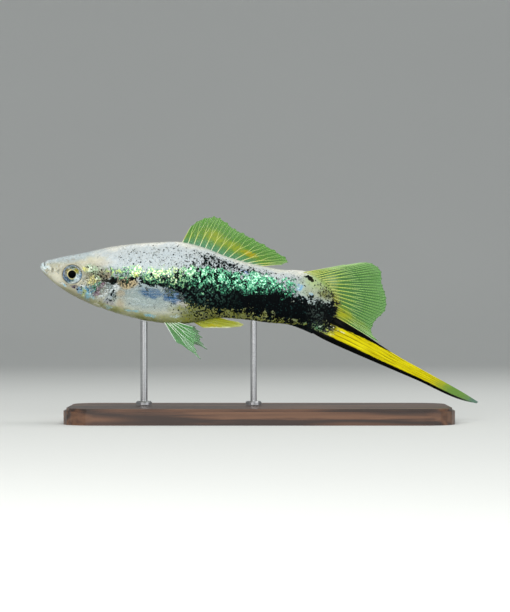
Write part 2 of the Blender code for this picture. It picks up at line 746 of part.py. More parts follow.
def main():
    clear_scene()
    make_material("cutter", (1, 0, 0))
    skin = make_material("skin", (0.72, 0.73, 0.70), 0.35)
    cover = make_material("gill_cover", (0.62, 0.66, 0.55), 0.3)
    eye = make_material("eye", (0.35, 0.38, 0.3), 0.1, 0.2)
    ray_web = make_material("fin", (0.62, 0.74, 0.62), 0.4, alpha=0.6)
    sword = make_material("sword", (0.85, 0.72, 0.06), 0.4)
    anal = make_material("anal_fin", (0.72, 0.66, 0.2), 0.4)
    wood = make_material("stand_board", (0.11, 0.055, 0.03), 0.4)
    steel = make_material("stand_steel", (0.7, 0.7, 0.72), 0.25, 1.0)

    make_head(skin)
    make_jaw(skin)
    for name, hand in (("left", -1), ("right", 1)):
        make_gill_cover("gill_cover_" + name, hand, cover)
        eyeball("eye_" + name, hand, 0.0, eye)
        make_pectoral_fin("pectoral_fin_" + name, hand, ray_web)
    make_pelvic_fin("pelvic_fin_left", -1, PELVIC_LEFT, ray_web)
    make_pelvic_fin("pelvic_fin_right", 1, PELVIC_RIGHT, ray_web)
    make_trunk(skin)
    make_tail_stalk(skin)
    make_dorsal_fin(ray_web)
    make_tail_fan(ray_web)
    make_sword(sword)
    make_anal_fin(anal)
    make_stand_base(wood)
    for name, along, radius in ROD_PLACES:
        make_stand_rod(name, along, radius, steel)
    bpy.data.materials.remove(bpy.data.materials["cutter"])


main()
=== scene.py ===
# %% [markdown]
# # A life-size male swordtail on a display stand
#
# A swordtail is a small live-bearing freshwater fish. The male's lower tail rays grow out into a long
# yellow sword with black edges, and his anal fin is a thin rod. This lesson dresses a set of plain
# solids, which already have the true sizes, with a skin, scales, ribbed fins, eyes and a stand.
#
# We work from the inside out: first the frame and the camera, then a few tools for shaders, and then
# one piece at a time. Each step says what the thing is on the real fish and why it is made this way.

# %% Load the frame
import math

import bmesh
import bpy
import numpy as np
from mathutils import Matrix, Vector


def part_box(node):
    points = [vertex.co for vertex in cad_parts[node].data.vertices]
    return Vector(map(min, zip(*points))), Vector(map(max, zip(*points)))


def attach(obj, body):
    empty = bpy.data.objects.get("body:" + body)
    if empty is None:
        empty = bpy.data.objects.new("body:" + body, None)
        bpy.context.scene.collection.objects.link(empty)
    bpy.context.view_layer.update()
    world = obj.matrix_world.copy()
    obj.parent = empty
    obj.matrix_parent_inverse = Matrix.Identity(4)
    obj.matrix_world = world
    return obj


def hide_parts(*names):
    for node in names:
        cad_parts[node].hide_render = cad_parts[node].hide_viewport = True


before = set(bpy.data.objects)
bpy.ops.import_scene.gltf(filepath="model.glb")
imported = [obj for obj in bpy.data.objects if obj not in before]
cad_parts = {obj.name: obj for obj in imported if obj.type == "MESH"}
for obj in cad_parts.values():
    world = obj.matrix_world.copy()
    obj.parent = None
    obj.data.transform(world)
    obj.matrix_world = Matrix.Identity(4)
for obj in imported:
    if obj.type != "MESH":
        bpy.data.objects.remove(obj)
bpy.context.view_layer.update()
print("nodes in the frame:", ", ".join(sorted(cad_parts)))

# %% [markdown]
# ## One way to say where things are
#
# A fish has no corner to measure from, so every place is given in millimetres from the tip of the
# snout: how far back, how far to the fish's right, and how far up. One function turns that into
# Blender's metres. The snout's place is read off the frame, so the dressing can't drift from it.

# %% Places on the fish
MM = 0.001
SNOUT_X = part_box("lower_jaw")[0].x
SNOUT_Z = 0.03895
RANDOM_SEED = 7


def place(along, side, up):
    """Millimetres from the snout, as numbers or arrays, to metres in the frame."""
    along, side, up = np.broadcast_arrays(along, side, up)
    return np.stack([SNOUT_X + along * MM, side * MM, SNOUT_Z + up * MM], axis=-1)


print("the snout is at x = %.4f m, z = %.4f m" % (SNOUT_X, SNOUT_Z))

# %% [markdown]
# ## The camera
#
# The picture was taken from straight beside the fish with a long lens, so the camera is level and far
# away. The fish's own scale in the picture, a quarter of a millimetre for each pixel, fixes the width
# of the view at the fish, and the snout's pixel fixes where the camera points.

# %% Set up the camera
PICTURE_WIDTH, PICTURE_HEIGHT = 510, 612  # pixels
MM_PER_PIXEL = 0.25
SNOUT_PIXEL = (40.0, 266.0)
CAMERA_DISTANCE = 0.62
SENSOR_WIDTH = 36.0

centre = place(
    (PICTURE_WIDTH / 2 - SNOUT_PIXEL[0]) * MM_PER_PIXEL, 0.0, (SNOUT_PIXEL[1] - PICTURE_HEIGHT / 2) * MM_PER_PIXEL
)
camera_data = bpy.data.cameras.new("camera")
camera_data.sensor_fit = "HORIZONTAL"
camera_data.sensor_width = SENSOR_WIDTH
camera_data.lens = SENSOR_WIDTH * CAMERA_DISTANCE / (PICTURE_WIDTH * MM_PER_PIXEL * MM)
camera_data.clip_start = 0.01
camera = bpy.data.objects.new("camera", camera_data)
camera.location = (centre[0], -CAMERA_DISTANCE, centre[2])
camera.rotation_euler = (math.radians(90), 0, 0)
bpy.context.scene.collection.objects.link(camera)
bpy.context.scene.camera = camera
print("lens %.0f mm, %.1f mm above the floor" % (camera_data.lens, camera.location.z / MM))

# %% [markdown]
# ## Soft studio light and a pale floor
#
# Scales and wet eyes only look right with something bright to reflect, and thin fins need light from
# behind. So a large soft lamp hangs above and in front, a weaker one fills from the other side, and a
# third stands behind. The floor curves up into a wall, so no line crosses the picture.


# %% Light the scene
AIM = (0.0, 0.0, 0.03)


def soft_lamp(name, place_m, size_m, watts, colour):
    data = bpy.data.lights.new(name, "AREA")
    data.shape = "RECTANGLE"
    data.size, data.size_y = size_m
    data.energy = watts
    data.color = colour
    lamp = bpy.data.objects.new(name, data)
    lamp.location = place_m
    lamp.rotation_euler = (Vector(AIM) - Vector(place_m)).to_track_quat("-Z", "Y").to_euler()
    bpy.context.scene.collection.objects.link(lamp)


soft_lamp("key", (-0.12, -0.48, 0.26), (0.42, 0.34), 2.2, (1.0, 0.99, 0.97))
soft_lamp("fill", (0.4, -0.45, 0.1), (0.4, 0.4), 0.8, (0.95, 0.98, 1.0))
soft_lamp("top", (0.06, 0.12, 0.45), (0.4, 0.25), 0.9, (1.0, 1.0, 0.98))

world = bpy.data.worlds.new("studio")
bpy.context.scene.world = world
world.use_nodes = True
world.node_tree.nodes["Background"].inputs["Color"].default_value = (0.9, 0.93, 0.96, 1)
world.node_tree.nodes["Background"].inputs["Strength"].default_value = 0.34
bpy.context.scene.view_settings.view_transform = "Standard"
print("three lamps and a pale sky")

# %% [markdown]
# ## Small tools for building shaders
#
# A marking such as a ragged black band is a formula: where on the fish, how far from a line, plus some
# noise. Shader nodes can hold such a formula, but wiring them one by one hides what it says. The class
# below adds a node for each step and hands back its output, so that a pattern reads like arithmetic.


# %% A helper that wires nodes
def paint(code, alpha=1.0):
    """A colour as it looks on a screen, such as "c8ccd4", in the linear values that shaders use."""
    parts = [int(code[i : i + 2], 16) / 255 for i in (0, 2, 4)]
    linear = [p / 12.92 if p <= 0.04045 else ((p + 0.055) / 1.055) ** 2.4 for p in parts]
    return (*linear, alpha)


class Wiring:
    def __init__(self, tree):
        self.tree = tree

    def node(self, kind, inputs=(), **settings):
        made = self.tree.nodes.new(kind)
        for name, value in settings.items():
            setattr(made, name, value)
        for key, value in dict(inputs).items():
            self.put(made.inputs[key], value)
        return made

    def put(self, socket, value):
        if isinstance(value, bpy.types.NodeSocket):
            self.tree.links.new(value, socket)
        else:
            socket.default_value = value

    def math(self, operation, a, b=0.0, c=0.0, clamp=False):
        return self.node("ShaderNodeMath", {0: a, 1: b, 2: c}, operation=operation, use_clamp=clamp).outputs[0]

    def add(self, *values):
        total = values[0]
        for value in values[1:]:
            total = self.math("ADD", total, value)
        return total

    def times(self, *values):
        total = values[0]
        for value in values[1:]:
            total = self.math("MULTIPLY", total, value)
        return total

    def less(self, a, b):
        return self.math("SUBTRACT", a, b)

    def mix(self, share, first, second, blend="MIX"):
        made = self.node("ShaderNodeMix", {0: share, 6: first, 7: second}, data_type="RGBA", blend_type=blend)
        return made.outputs[2]

    def step(self, value, low, high, start=0.0, end=1.0):
        """A smooth change from start to end as value goes from low to high."""
        inputs = {"Value": value, "From Min": low, "From Max": high, "To Min": start, "To Max": end}
        return self.node("ShaderNodeMapRange", inputs, interpolation_type="SMOOTHSTEP").outputs["Result"]

    def noise(self, where, size, detail=2.0, roughness=0.5, output="Fac"):
        """Smooth noise from 0 to 1 whose lumps are about this many units across."""
        inputs = {"Vector": where, "Scale": 1 / size, "Detail": detail, "Roughness": roughness}
        return self.node("ShaderNodeTexNoise", inputs).outputs[output]

    def dots(self, where, size):
        """Points scattered this far apart: how far the nearest is, in those steps, and a random number for it."""
        made = self.node("ShaderNodeTexVoronoi", {"Vector": where, "Scale": 1 / size})
        return made.outputs["Distance"], self.node("ShaderNodeSeparateColor", {0: made.outputs["Color"]}).outputs[0]

    def cells(self, where, size):
        """A random number from 0 to 1 for each small cell of space."""
        return self.dots(where, size)[1]

    def borders(self, where, size):
        """How far the nearest border between such cells is."""
        inputs = {"Vector": where, "Scale": 1 / size}
        return self.node("ShaderNodeTexVoronoi", inputs, feature="DISTANCE_TO_EDGE").outputs["Distance"]

    def ramp(self, value, stops):
        made = self.node("ShaderNodeValToRGB", {0: value})
        elements = made.color_ramp.elements
        while len(elements) < len(stops):
            elements.new(0.5)
        for element, (position, colour) in zip(elements, stops):
            element.position = position
            element.color = colour
        return made.outputs[0]

    def curve(self, value, points, length=80.0, low=-25.0, high=15.0):
        """A smooth curve through (place, value) points, for places from 0 to length."""
        made = self.node("ShaderNodeFloatCurve", {"Value": self.math("DIVIDE", value, length)})
        line = made.mapping.curves[0]
        points = [(p / length, (v - low) / (high - low)) for p, v in points]
        line.points[0].location, line.points[1].location = points[0], points[-1]
        for point in points[1:-1]:
            line.points.new(*point)
        made.mapping.update()
        return self.math("MULTIPLY_ADD", made.outputs[0], high - low, low)

    def fish(self, position):
        """Object position in metres to millimetres from the snout."""
        scaled = self.node("ShaderNodeVectorMath", {0: position, 1: (1 / MM,) * 3}, operation="MULTIPLY")
        start = (-SNOUT_X / MM, 0, -SNOUT_Z / MM)
        return self.node("ShaderNodeVectorMath", {0: scaled.outputs[0], 1: start}, operation="ADD").outputs[0]

    def wander(self, where, size, reach, detail=3.0):
        """Shifts places about by noise, so that edges drawn with them come out ragged."""
        noise = self.noise(where, size, detail, output="Color")
        centred = self.node("ShaderNodeVectorMath", {0: noise, 1: (0.5,) * 3}, operation="SUBTRACT").outputs[0]
        shift = self.node("ShaderNodeVectorMath", {0: centred, "Scale": 2 * reach}, operation="SCALE").outputs[0]
        return self.node("ShaderNodeVectorMath", {0: where, 1: shift}, operation="ADD").outputs[0]

    def stretch(self, where, factors):
        return self.node("ShaderNodeVectorMath", {0: where, 1: factors}, operation="MULTIPLY").outputs[0]

    def patch(self, where, middle, reach, turn=0.0, soft=0.5):
        """1 inside an oval in profile, 0 outside it. middle and reach are (along, up), and turn lowers its rear."""
        cos, sin = math.cos(math.radians(turn)), math.sin(math.radians(turn))
        middle = (middle[0], 0, middle[1])
        shifted = self.node("ShaderNodeVectorMath", {0: where, 1: middle}, operation="SUBTRACT").outputs[0]
        far = []
        for axis in ((cos / reach[0], 0, -sin / reach[0]), (sin / reach[1], 0, cos / reach[1])):
            part = self.node("ShaderNodeVectorMath", {0: shifted, 1: axis}, operation="DOT_PRODUCT")
            far.append(self.math("POWER", part.outputs["Value"], 2.0))
        return self.step(self.math("SQRT", self.add(*far)), 1 - soft, 1 + soft * 0.4, 1.0, 0.0)


def new_group(name, inputs, outputs):
    """An empty shader group with these sockets, each given as (name, kind, starting value)."""
    tree = bpy.data.node_groups.new(name, "ShaderNodeTree")
    for direction, sockets in (("INPUT", inputs), ("OUTPUT", outputs)):
        for socket_name, kind, start in sockets:
            socket = tree.interface.new_socket(socket_name, in_out=direction, socket_type="NodeSocket" + kind)
            if start is not None:
                socket.default_value = start
    ins = tree.nodes.new("NodeGroupInput")
    outs = tree.nodes.new("NodeGroupOutput")
    return tree, Wiring(tree), ins, outs


def new_material(name):
    material = bpy.data.materials.new(name)
    material.use_nodes = True
    tree = material.node_tree
    return material, Wiring(tree), tree.nodes["Principled BSDF"]


print("shader tools ready")

# %% [markdown]
# ## The floor
#
# The floor and wall are one curved sheet, not part of the fish. A faint mottling keeps the pale paper
# from looking like a flat fill.

# %% Make the floor and wall
FLOOR_WIDTH, FLOOR_FRONT, FLOOR_BACK, WALL_HEIGHT, WALL_BEND = 4.4, -1.6, 1.05, 2.0, 0.45
profile = [(FLOOR_FRONT, 0.0), (FLOOR_BACK - WALL_BEND, 0.0)]
for i in range(1, 13):
    angle = math.radians(90 * i / 12)
    profile.append((FLOOR_BACK - WALL_BEND + WALL_BEND * math.sin(angle), WALL_BEND * (1 - math.cos(angle))))
profile.append((FLOOR_BACK, WALL_HEIGHT))
corners = [(x, y, z) for y, z in profile for x in (-FLOOR_WIDTH / 2, FLOOR_WIDTH / 2)]
strips = [(2 * i, 2 * i + 1, 2 * i + 3, 2 * i + 2) for i in range(len(profile) - 1)]
floor_mesh = bpy.data.meshes.new("floor")
floor_mesh.from_pydata(corners, [], strips)
floor_mesh.shade_smooth()
floor = bpy.data.objects.new("floor", floor_mesh)
bpy.context.scene.collection.objects.link(floor)
paper, wires, shader = new_material("floor_paper")
where = wires.node("ShaderNodeTexCoord").outputs["Object"]
mottle = wires.noise(where, 0.3, 3)
wires.put(shader.inputs["Base Color"], wires.mix(mottle, paint("dadcd9"), paint("e2e4e1")))
shader.inputs["Roughness"].default_value = 0.9
floor_mesh.materials.append(paper)
print("floor sheet with", len(strips), "strips")

# %% [markdown]
# ## The body's own form
#
# Seen from the side, a fish is two curves, back and belly. Seen from above it is one more, its width.
# A section across it is an oval, a little squarer than an ellipse. With those four the whole body is a
# formula, and anything can be set on it by asking where its surface is. The same stations shape the
# solids, so the skin lies where they do; only the lips have a few more points here.

# %% Curves that shape the body
BACK = ((0.0, -0.2), (0.25, 0.45), (0.68, 0.76), (1.0, 0.72), (1.28, 0.38), (1.46, 0.95), (1.95, 1.46), (2.7, 1.6),
        (5.2, 2.2), (11.2, 3.35), (17.2, 4.68), (23.2, 5.5), (29.2, 5.93), (35.2, 6.0), (41.0, 4.6), (47.2, 2.2),
        (53.4, 0.5), (63.8, -1.38), (80.0, -2.2))
BELLY = ((0.0, -0.2), (0.45, -1.1), (1.9, -2.75), (5.2, -5.5), (9.2, -7.95), (15.2, -10.45), (21.6, -12.5),
         (28.0, -13.9), (34.0, -14.5), (38.5, -14.15), (44.2, -13.0), (50.2, -13.3), (57.4, -14.2),
         (62.4, -14.7), (66.7, -16.2), (70.0, -17.8), (80.0, -22.4))
HALF_WIDTH = ((0.0, 1.9), (2.0, 2.45), (4.0, 3.05), (8.4, 4.1), (13.0, 4.8), (19.0, 5.2), (25.0, 5.3), (31.0, 5.05),
              (37.0, 4.45), (44.0, 3.6), (50.0, 3.0), (57.0, 2.45), (63.0, 1.95), (68.0, 1.45), (72.0, 0.95),
              (80.0, 0.6))
WIDEST_LEVEL = ((0.0, -0.3), (4.0, -1.3), (8.4, -2.1), (15.0, -3.2), (25.0, -3.8), (35.0, -4.2), (45.0, -5.0),
                (55.0, -6.2), (65.0, -8.0), (80.0, -10.2))
SQUARENESS_ABOVE = ((0.0, 2.2), (6.0, 2.6), (14.0, 2.5), (24.0, 2.1), (40.0, 2.0), (80.0, 2.0))
SQUARENESS_BELOW = ((0.0, 2.2), (10.0, 2.1), (24.0, 2.2), (40.0, 2.0), (80.0, 2.0))
SNOUT_ROUNDING = 1.6
TAIL_EDGE = ((65.9, -1.2), (69.2, -2.2), (72.0, -3.9), (73.6, -6.3), (74.2, -9.6), (73.8, -12.4), (72.2, -14.9),
             (70.0, -16.5), (67.9, -16.9))


def smooth_curve(points):
    """A function through (place, value) points that has no corners and takes arrays."""
    places, values = np.array(points, float).T
    slopes = np.gradient(values, places)

    def at(x):
        x = np.clip(x, places[0], places[-1])
        i = np.clip(np.searchsorted(places, x) - 1, 0, len(places) - 2)
        span = places[i + 1] - places[i]
        t = (x - places[i]) / span
        start = (1 + 2 * t) * (1 - t) ** 2 * values[i] + t * (1 - t) ** 2 * span * slopes[i]
        return start + t * t * (3 - 2 * t) * values[i + 1] + t * t * (t - 1) * span * slopes[i + 1]

    return at


def path_through(points, by_length=True):
    """A function of 0 to 1 along a smooth path through points, even by length or by point."""
    points = np.array(points, float)
    length = np.concatenate([[0], np.cumsum(np.linalg.norm(np.diff(points, axis=0), axis=1))])
    share = length / length[-1] if by_length else np.arange(len(points)) / (len(points) - 1)
    columns = [smooth_curve(list(zip(share, points[:, k]))) for k in range(points.shape[1])]
    return lambda t: np.stack([column(t) for column in columns], axis=-1)


back, belly, half_width_plain, widest_level, squareness_above, squareness_below = (
    smooth_curve(points) for points in (BACK, BELLY, HALF_WIDTH, WIDEST_LEVEL, SQUARENESS_ABOVE, SQUARENESS_BELOW)
)
tail_edge = path_through(TAIL_EDGE)


def half_width(along):
    rounding = 1 - np.minimum(along / SNOUT_ROUNDING, 1.0)
    return half_width_plain(along) * np.sqrt(np.maximum(1 - rounding**2, 0.0))


def flank(along, up):
    """Half the body's thickness at a place in profile."""
    level = widest_level(along)
    above = up >= level
    n = np.where(above, squareness_above(along), squareness_below(along))
    reach = np.where(above, back(along) - level, level - belly(along))
    share = np.minimum(np.abs(up - level) / reach, 1.0)
    return half_width(along) * (1 - share**n) ** (1 / n)


def underside(along, side):
    n = squareness_below(along)
    share = np.minimum(np.abs(side) / half_width(along), 1.0)
    return widest_level(along) - (widest_level(along) - belly(along)) * (1 - share**n) ** (1 / n)


def rise(x, low, high):
    """A smooth change from 0 to 1 as x goes from low to high."""
    t = np.clip((x - low) / (high - low), 0.0, 1.0)
    return t * t * (3 - 2 * t)


print("the body is %.1f mm deep and %.1f mm thick at its middle" % (back(30.0) - belly(30.0), 2 * half_width(25.0)))

# %% [markdown]
# ## Relief on the skin
#
# A swordtail's mouth points up: the lower lip is a knob that stands in front of the upper one. Behind
# it are two nostrils on each side, the eye in a shallow socket, and the gill cover with its free rear
# edge. All of these are small raises and dips of the one skin, so no seam can show.
#
# Scales overlap like shingles and each one's rear edge is a curve. Two sets of such curves, half a
# step apart both ways, give the real pattern. How far a point is from the next edge behind it gives
# the height there: low at a scale's front and high at its edge.

# %% Heights of the relief
MOUTH_LINE = ((1.3, 0.7), (1.28, 0.0), (1.45, -0.45), (1.85, -0.82), (2.25, -1.0))
LIP_FOLD = ((0.7, -0.78), (1.3, -0.95), (1.9, -1.12), (2.4, -1.2))
JAW_LINE = ((2.3, -1.2), (2.75, -2.0), (2.9, -3.0))
EYE_PLACE = (8.35, -2.15)
EYE_RADIUS = 2.5
NOSTRILS = ((3.42, -1.02, 0.28, 0.55), (4.66, -1.45, 0.4, 0.42))  # along, up, half width, half height
GILL_CENTRE = (7.7, -3.1)
GILL_RADIUS = 10.4
CHEEK_RADIUS = 4.9
SCALE_LENGTH = 2.02
SCALES_AROUND = 26
SCALES_FROM, SCALES_TO = 14.5, 71.0
SCALE_RELIEF = 0.05


def bump_at(distance, middle, width):
    """A smooth bump of height 1 where distance equals middle."""
    return np.exp(-(((distance - middle) / width) ** 2))


def from_line(along, up, line):
    """Distance to a bent line in profile, and how far along the line the nearest place is, 0 to 1."""
    best, share = np.full(np.shape(along), 1e9), np.zeros(np.shape(along))
    for i in range(len(line) - 1):
        start, end = np.array(line[i]), np.array(line[i + 1])
        ahead = end - start
        t = np.clip(((along - start[0]) * ahead[0] + (up - start[1]) * ahead[1]) / (ahead @ ahead), 0, 1)
        far = np.hypot(along - start[0] - t * ahead[0], up - start[1] - t * ahead[1])
        nearer = far < best
        best, share = np.where(nearer, far, best), np.where(nearer, (i + t) / (len(line) - 1), share)
    return best, share


def scale_height(station, around):
    """0 at a scale's front to 1 at its rear edge. around runs once round the body from 0 to 1."""
    column, row = station / SCALE_LENGTH, around * SCALES_AROUND
    first = 2 * ((row / 2) % 1) - 1
    second = 2 * ((row / 2 + 0.5) % 1) - 1
    ahead = np.minimum(1 - (column + 0.5 * first**2) % 1, 1 - (column + 0.5 + 0.5 * second**2) % 1)
    return 1 - ahead


def gill_place(along, up):
    """Distance from the gill cover's centre, and the bearing from it in degrees."""
    return (
        np.hypot(along - GILL_CENTRE[0], up - GILL_CENTRE[1]),
        np.degrees(np.arctan2(up - GILL_CENTRE[1], along - GILL_CENTRE[0])),
    )


def scaled_part(along, up, station):
    """1 where the body carries scales, 0 on the head and the fin's root."""
    gill, bearing = gill_place(along, up)
    behind = np.maximum(rise(gill, GILL_RADIUS - 0.2, GILL_RADIUS + 0.6), rise(bearing, 40, 60))
    return rise(station, SCALES_FROM, SCALES_FROM + 3) * behind * (1 - rise(station, SCALES_TO - 3, SCALES_TO))


def relief(along, up, station, around):
    """How far the skin stands out of the plain body, in millimetres."""
    mouth, share = from_line(along, up, MOUTH_LINE)
    height = 0.13 * bump_at(mouth, 0.46, 0.26) - 0.36 * bump_at(mouth, 0, 0.13) * (1 - 0.5 * share)
    height -= 0.05 * bump_at(mouth, 1.0, 0.16) * rise(along, 1.4, 1.8)
    height -= 0.16 * bump_at(from_line(along, up, LIP_FOLD)[0], 0, 0.2)
    height -= 0.08 * bump_at(from_line(along, up, JAW_LINE)[0], 0, 0.22)
    eye = np.hypot(along - EYE_PLACE[0], up - EYE_PLACE[1])
    height += 0.14 * bump_at(eye, EYE_RADIUS + 0.3, 0.26) - 1.9 * (1 - rise(eye, 2.15, 2.5))
    height -= 0.06 * bump_at(eye, EYE_RADIUS + 0.85, 0.25)
    for a, u, wide, tall in NOSTRILS:
        far = np.hypot((along - a) / wide, (up - u) / tall)
        height += -0.34 * (1 - rise(far, 0.45, 1.0)) + 0.07 * bump_at(far, 1.25, 0.3)
    gill, bearing = gill_place(along, up)
    covered = rise(bearing, -82, -66) * (1 - rise(bearing, 14, 30))
    edge = rise(gill, 6.5, GILL_RADIUS - 0.4) * (1 - rise(gill, GILL_RADIUS - 0.1, GILL_RADIUS + 0.18))
    height += covered * (0.12 * edge - 0.05 * bump_at(gill, GILL_RADIUS + 0.3, 0.25))
    cheek = rise(bearing, -110, -90) * (1 - rise(bearing, 0, 14))
    height -= 0.09 * cheek * bump_at(gill, CHEEK_RADIUS, 0.2)
    height -= 0.05 * cheek * bump_at(gill, CHEEK_RADIUS + 1.5, 0.25)
    return height + SCALE_RELIEF * scaled_part(along, up, station) * (scale_height(station, around) - 0.5)


print("about", round((SCALES_TO - SCALES_FROM) / SCALE_LENGTH) * SCALES_AROUND, "scales in the pattern")

# %% [markdown]
# ## The skin
#
# The skin is a loft: rings of points round the body, closer together at the mouth, each joined to the
# next. Towards the tail the rings bend to follow the curved edge where the tail's rays begin, and the
# flesh thins to meet them. Each point is then moved out by the relief along the surface's own normal.
#
# Two sets of map coordinates go with it. Lie counts scales along and around, for patterns that follow
# them. OFBake is a plain unrolling of the whole skin, for baking colours.

# %% Build the skin
SKIN_RINGS, SKIN_SIDES = 430, 180
RING_CROWDING = 1.45
BODY_END = 74.2
BEND_FROM = 56.0
EDGE_HALF = 0.11
MAP_MARGIN, MAP_SPAN = 0.02, 0.96
MAP_CROWDING = 1.2  # under RING_CROWDING, so the head gets a larger share of the map


def profile_height(along, s):
    """The height of the plain body's surface at a share s of the way up (1) or down (-1)."""
    level = widest_level(along)
    n = np.where(s >= 0, squareness_above(along), squareness_below(along))
    reach = np.where(s >= 0, back(along) - level, level - belly(along))
    return level + np.sign(s) * np.abs(s) ** (2 / n) * reach


def skin_point(station, angle):
    """The plain body's surface. Stations are millimetres from the snout until the rings bend to the tail."""
    c, s = np.cos(angle), np.sin(angle)
    bend = rise(station, BEND_FROM, BODY_END) ** 1.25
    edge = tail_edge(np.clip((1 - s) / 2, 0, 1))
    along = station + (edge[..., 0] - BODY_END) * bend
    up = profile_height(along, s) + (edge[..., 1] - profile_height(edge[..., 0], s)) * bend**2
    n = np.where(s >= 0, squareness_above(along), squareness_below(along))
    thick = half_width(along)
    thick = thick + (EDGE_HALF - thick) * rise(bend, 0.3, 1.0)
    return np.stack([along, np.sign(c) * np.abs(c) ** (2 / n) * thick, up], axis=-1)


ring_share = (np.arange(SKIN_RINGS) + 0.3) / (SKIN_RINGS - 0.7)
stations = ring_share**RING_CROWDING * BODY_END
station, angle = np.meshgrid(stations, -math.pi / 2 - 2 * math.pi * np.arange(SKIN_SIDES) / SKIN_SIDES, indexing="ij")
points = skin_point(station, angle)
closed = np.concatenate([points, points[:, :1]], axis=1)
around = np.zeros((SKIN_RINGS, SKIN_SIDES + 1))
around[:, 1:] = np.cumsum(np.linalg.norm(np.diff(closed, axis=1), axis=2), axis=1)
around /= around[:, -1:]
normals = np.cross(np.gradient(points, axis=0), np.roll(points, -1, axis=1) - np.roll(points, 1, axis=1))
normals /= np.linalg.norm(normals, axis=2, keepdims=True) + 1e-12
normals *= np.sign((normals[..., 1] * points[..., 1]).sum())
points = points + normals * relief(points[..., 0], points[..., 2], station, around[:, :-1])[..., None]


def add_map(mesh, name, values):
    """Stores a map coordinate for each corner of each face."""
    layer = mesh.uv_layers.new(name=name)
    layer.data.foreach_set("uv", np.asarray(values, np.float32).reshape(-1))


def loop_vertices(mesh):
    index = np.zeros(len(mesh.loops), np.int32)
    mesh.loops.foreach_get("vertex_index", index)
    return index


def unrolled(share, wrap):
    """A place on the skin's own unrolled map."""
    return np.stack([MAP_MARGIN + MAP_SPAN * share**MAP_CROWDING, MAP_MARGIN + MAP_SPAN * wrap], axis=-1)


ring, side = np.meshgrid(np.arange(SKIN_RINGS - 1), np.arange(SKIN_SIDES), indexing="ij")
ahead = (side + 1) % SKIN_SIDES
quads = [ring * SKIN_SIDES + side, (ring + 1) * SKIN_SIDES + side, (ring + 1) * SKIN_SIDES + ahead,
         ring * SKIN_SIDES + ahead]
faces = [tuple(q) for q in np.stack(quads, axis=-1).reshape(-1, 4).tolist()]
tube_faces = len(faces)
snout = SKIN_RINGS * SKIN_SIDES
faces += [(snout, k, (k + 1) % SKIN_SIDES) for k in range(SKIN_SIDES)]
last = snout - SKIN_SIDES
for k in range(SKIN_SIDES // 2):  # the thin end, closed straight across from left to right
    opposite = (SKIN_SIDES - k) % SKIN_SIDES
    faces.append(tuple(dict.fromkeys((last + k, last + opposite, last + SKIN_SIDES - k - 1, last + k + 1))))
skin_mesh = bpy.data.meshes.new("skin")
flat = points.reshape(-1, 3)
skin_mesh.from_pydata(np.vstack([place(*flat.T), place(-0.02, 0.0, -0.2)[None]]).tolist(), [], faces)
skin_mesh.shade_smooth()

index = loop_vertices(skin_mesh)
face_of_corner = np.repeat(np.arange(len(faces)), [len(f) for f in faces])
wrap = np.append(around[:, :-1].reshape(-1), 0.5)[index]
on_seam = (face_of_corner < tube_faces) & (face_of_corner % SKIN_SIDES == SKIN_SIDES - 1)
on_seam |= face_of_corner == tube_faces + SKIN_SIDES - 1
wrap[on_seam & (index % SKIN_SIDES == 0) & (index != snout)] += 1
share = np.append(np.repeat(ring_share, SKIN_SIDES), 0.0)[index]
bake = unrolled(share, wrap)
bake[index == snout, 0] -= 0.01
at_end = face_of_corner >= tube_faces + SKIN_SIDES
right_half = at_end & (index - last > SKIN_SIDES // 2)
bake[right_half] = np.stack([np.full(right_half.sum(), 0.995), 1 - bake[right_half, 1]], axis=-1)
add_map(skin_mesh, "Lie", np.stack([share**RING_CROWDING * BODY_END / SCALE_LENGTH, wrap * SCALES_AROUND], axis=-1))
add_map(skin_mesh, "OFBake", bake)
skin = bpy.data.objects.new("skin", skin_mesh)
bpy.context.scene.collection.objects.link(skin)
print("skin with", len(skin_mesh.polygons), "faces")

# %% [markdown]
# ## The markings
#
# From nose to tail the fish is cream, then silver. A green band that glitters runs along its side,
# with a ragged black band under it that widens to fill the tail stalk. Black specks cover the back,
# the gill cover glints cyan, yellow and magenta, and the belly behind the pelvic fins is olive. Skin
# and scales must agree, so all of it is one shader group that only asks where on the fish it is.
#
# Edges are made ragged by adding noise before the cut-off, and the noise is of two sizes: lumps as
# large as a scale, and grains as small as one pigment cell.

# %% Where the bands run
GREEN_TOP = ((0, -0.5), (14, -0.4), (25, -0.3), (33, -0.4), (42, -0.5), (47, -1.1), (52, -1.9), (58, -2.6),
             (63, -3.6), (68, -4.6), (80, -5))
GREEN_FOOT = ((0, -1.5), (14, -1.6), (21, -1.5), (26, -2.7), (35, -4.0), (42, -5.4), (52, -6.2), (58, -6.0), (63, -6.9),
              (68, -8.0), (80, -8))
GREEN_FULL = ((0, 0.465), (28, 0.455), (34, 0.455), (38, 0.49), (46, 0.49), (52, 0.455), (58, 0.44), (66, 0.46), (80, 0.5))
GREEN_TONE = ((0, -0.12), (20, -0.12), (25, 0.03), (34, 0.04), (39, -0.06), (46, 0.03), (52, 0.0), (57, -0.07),
              (62, -0.14), (80, -0.14))
BLACK_TOP = ((0, -2.8), (16, -2.7), (24, -2.2), (31, -1.7), (36, -0.6), (42, -0.5), (46, -1.0), (52, -2.0),
             (58, -3.2), (61, -4.8), (63.5, -7.0), (66, -8.0), (70, -8.5), (74, -8.6), (80, -9.0))
BLACK_FOOT = ((0, -4.0), (16, -4.4), (23, -4.1), (26, -5.4), (30, -5.7), (33, -7.2), (36, -9.2), (40, -10.8), (44, -11.3),
              (50, -11.7), (56, -12.4), (59, -13.4), (62, -14.4), (66, -15.0), (70, -15.0), (74, -16.6), (80, -18.0))
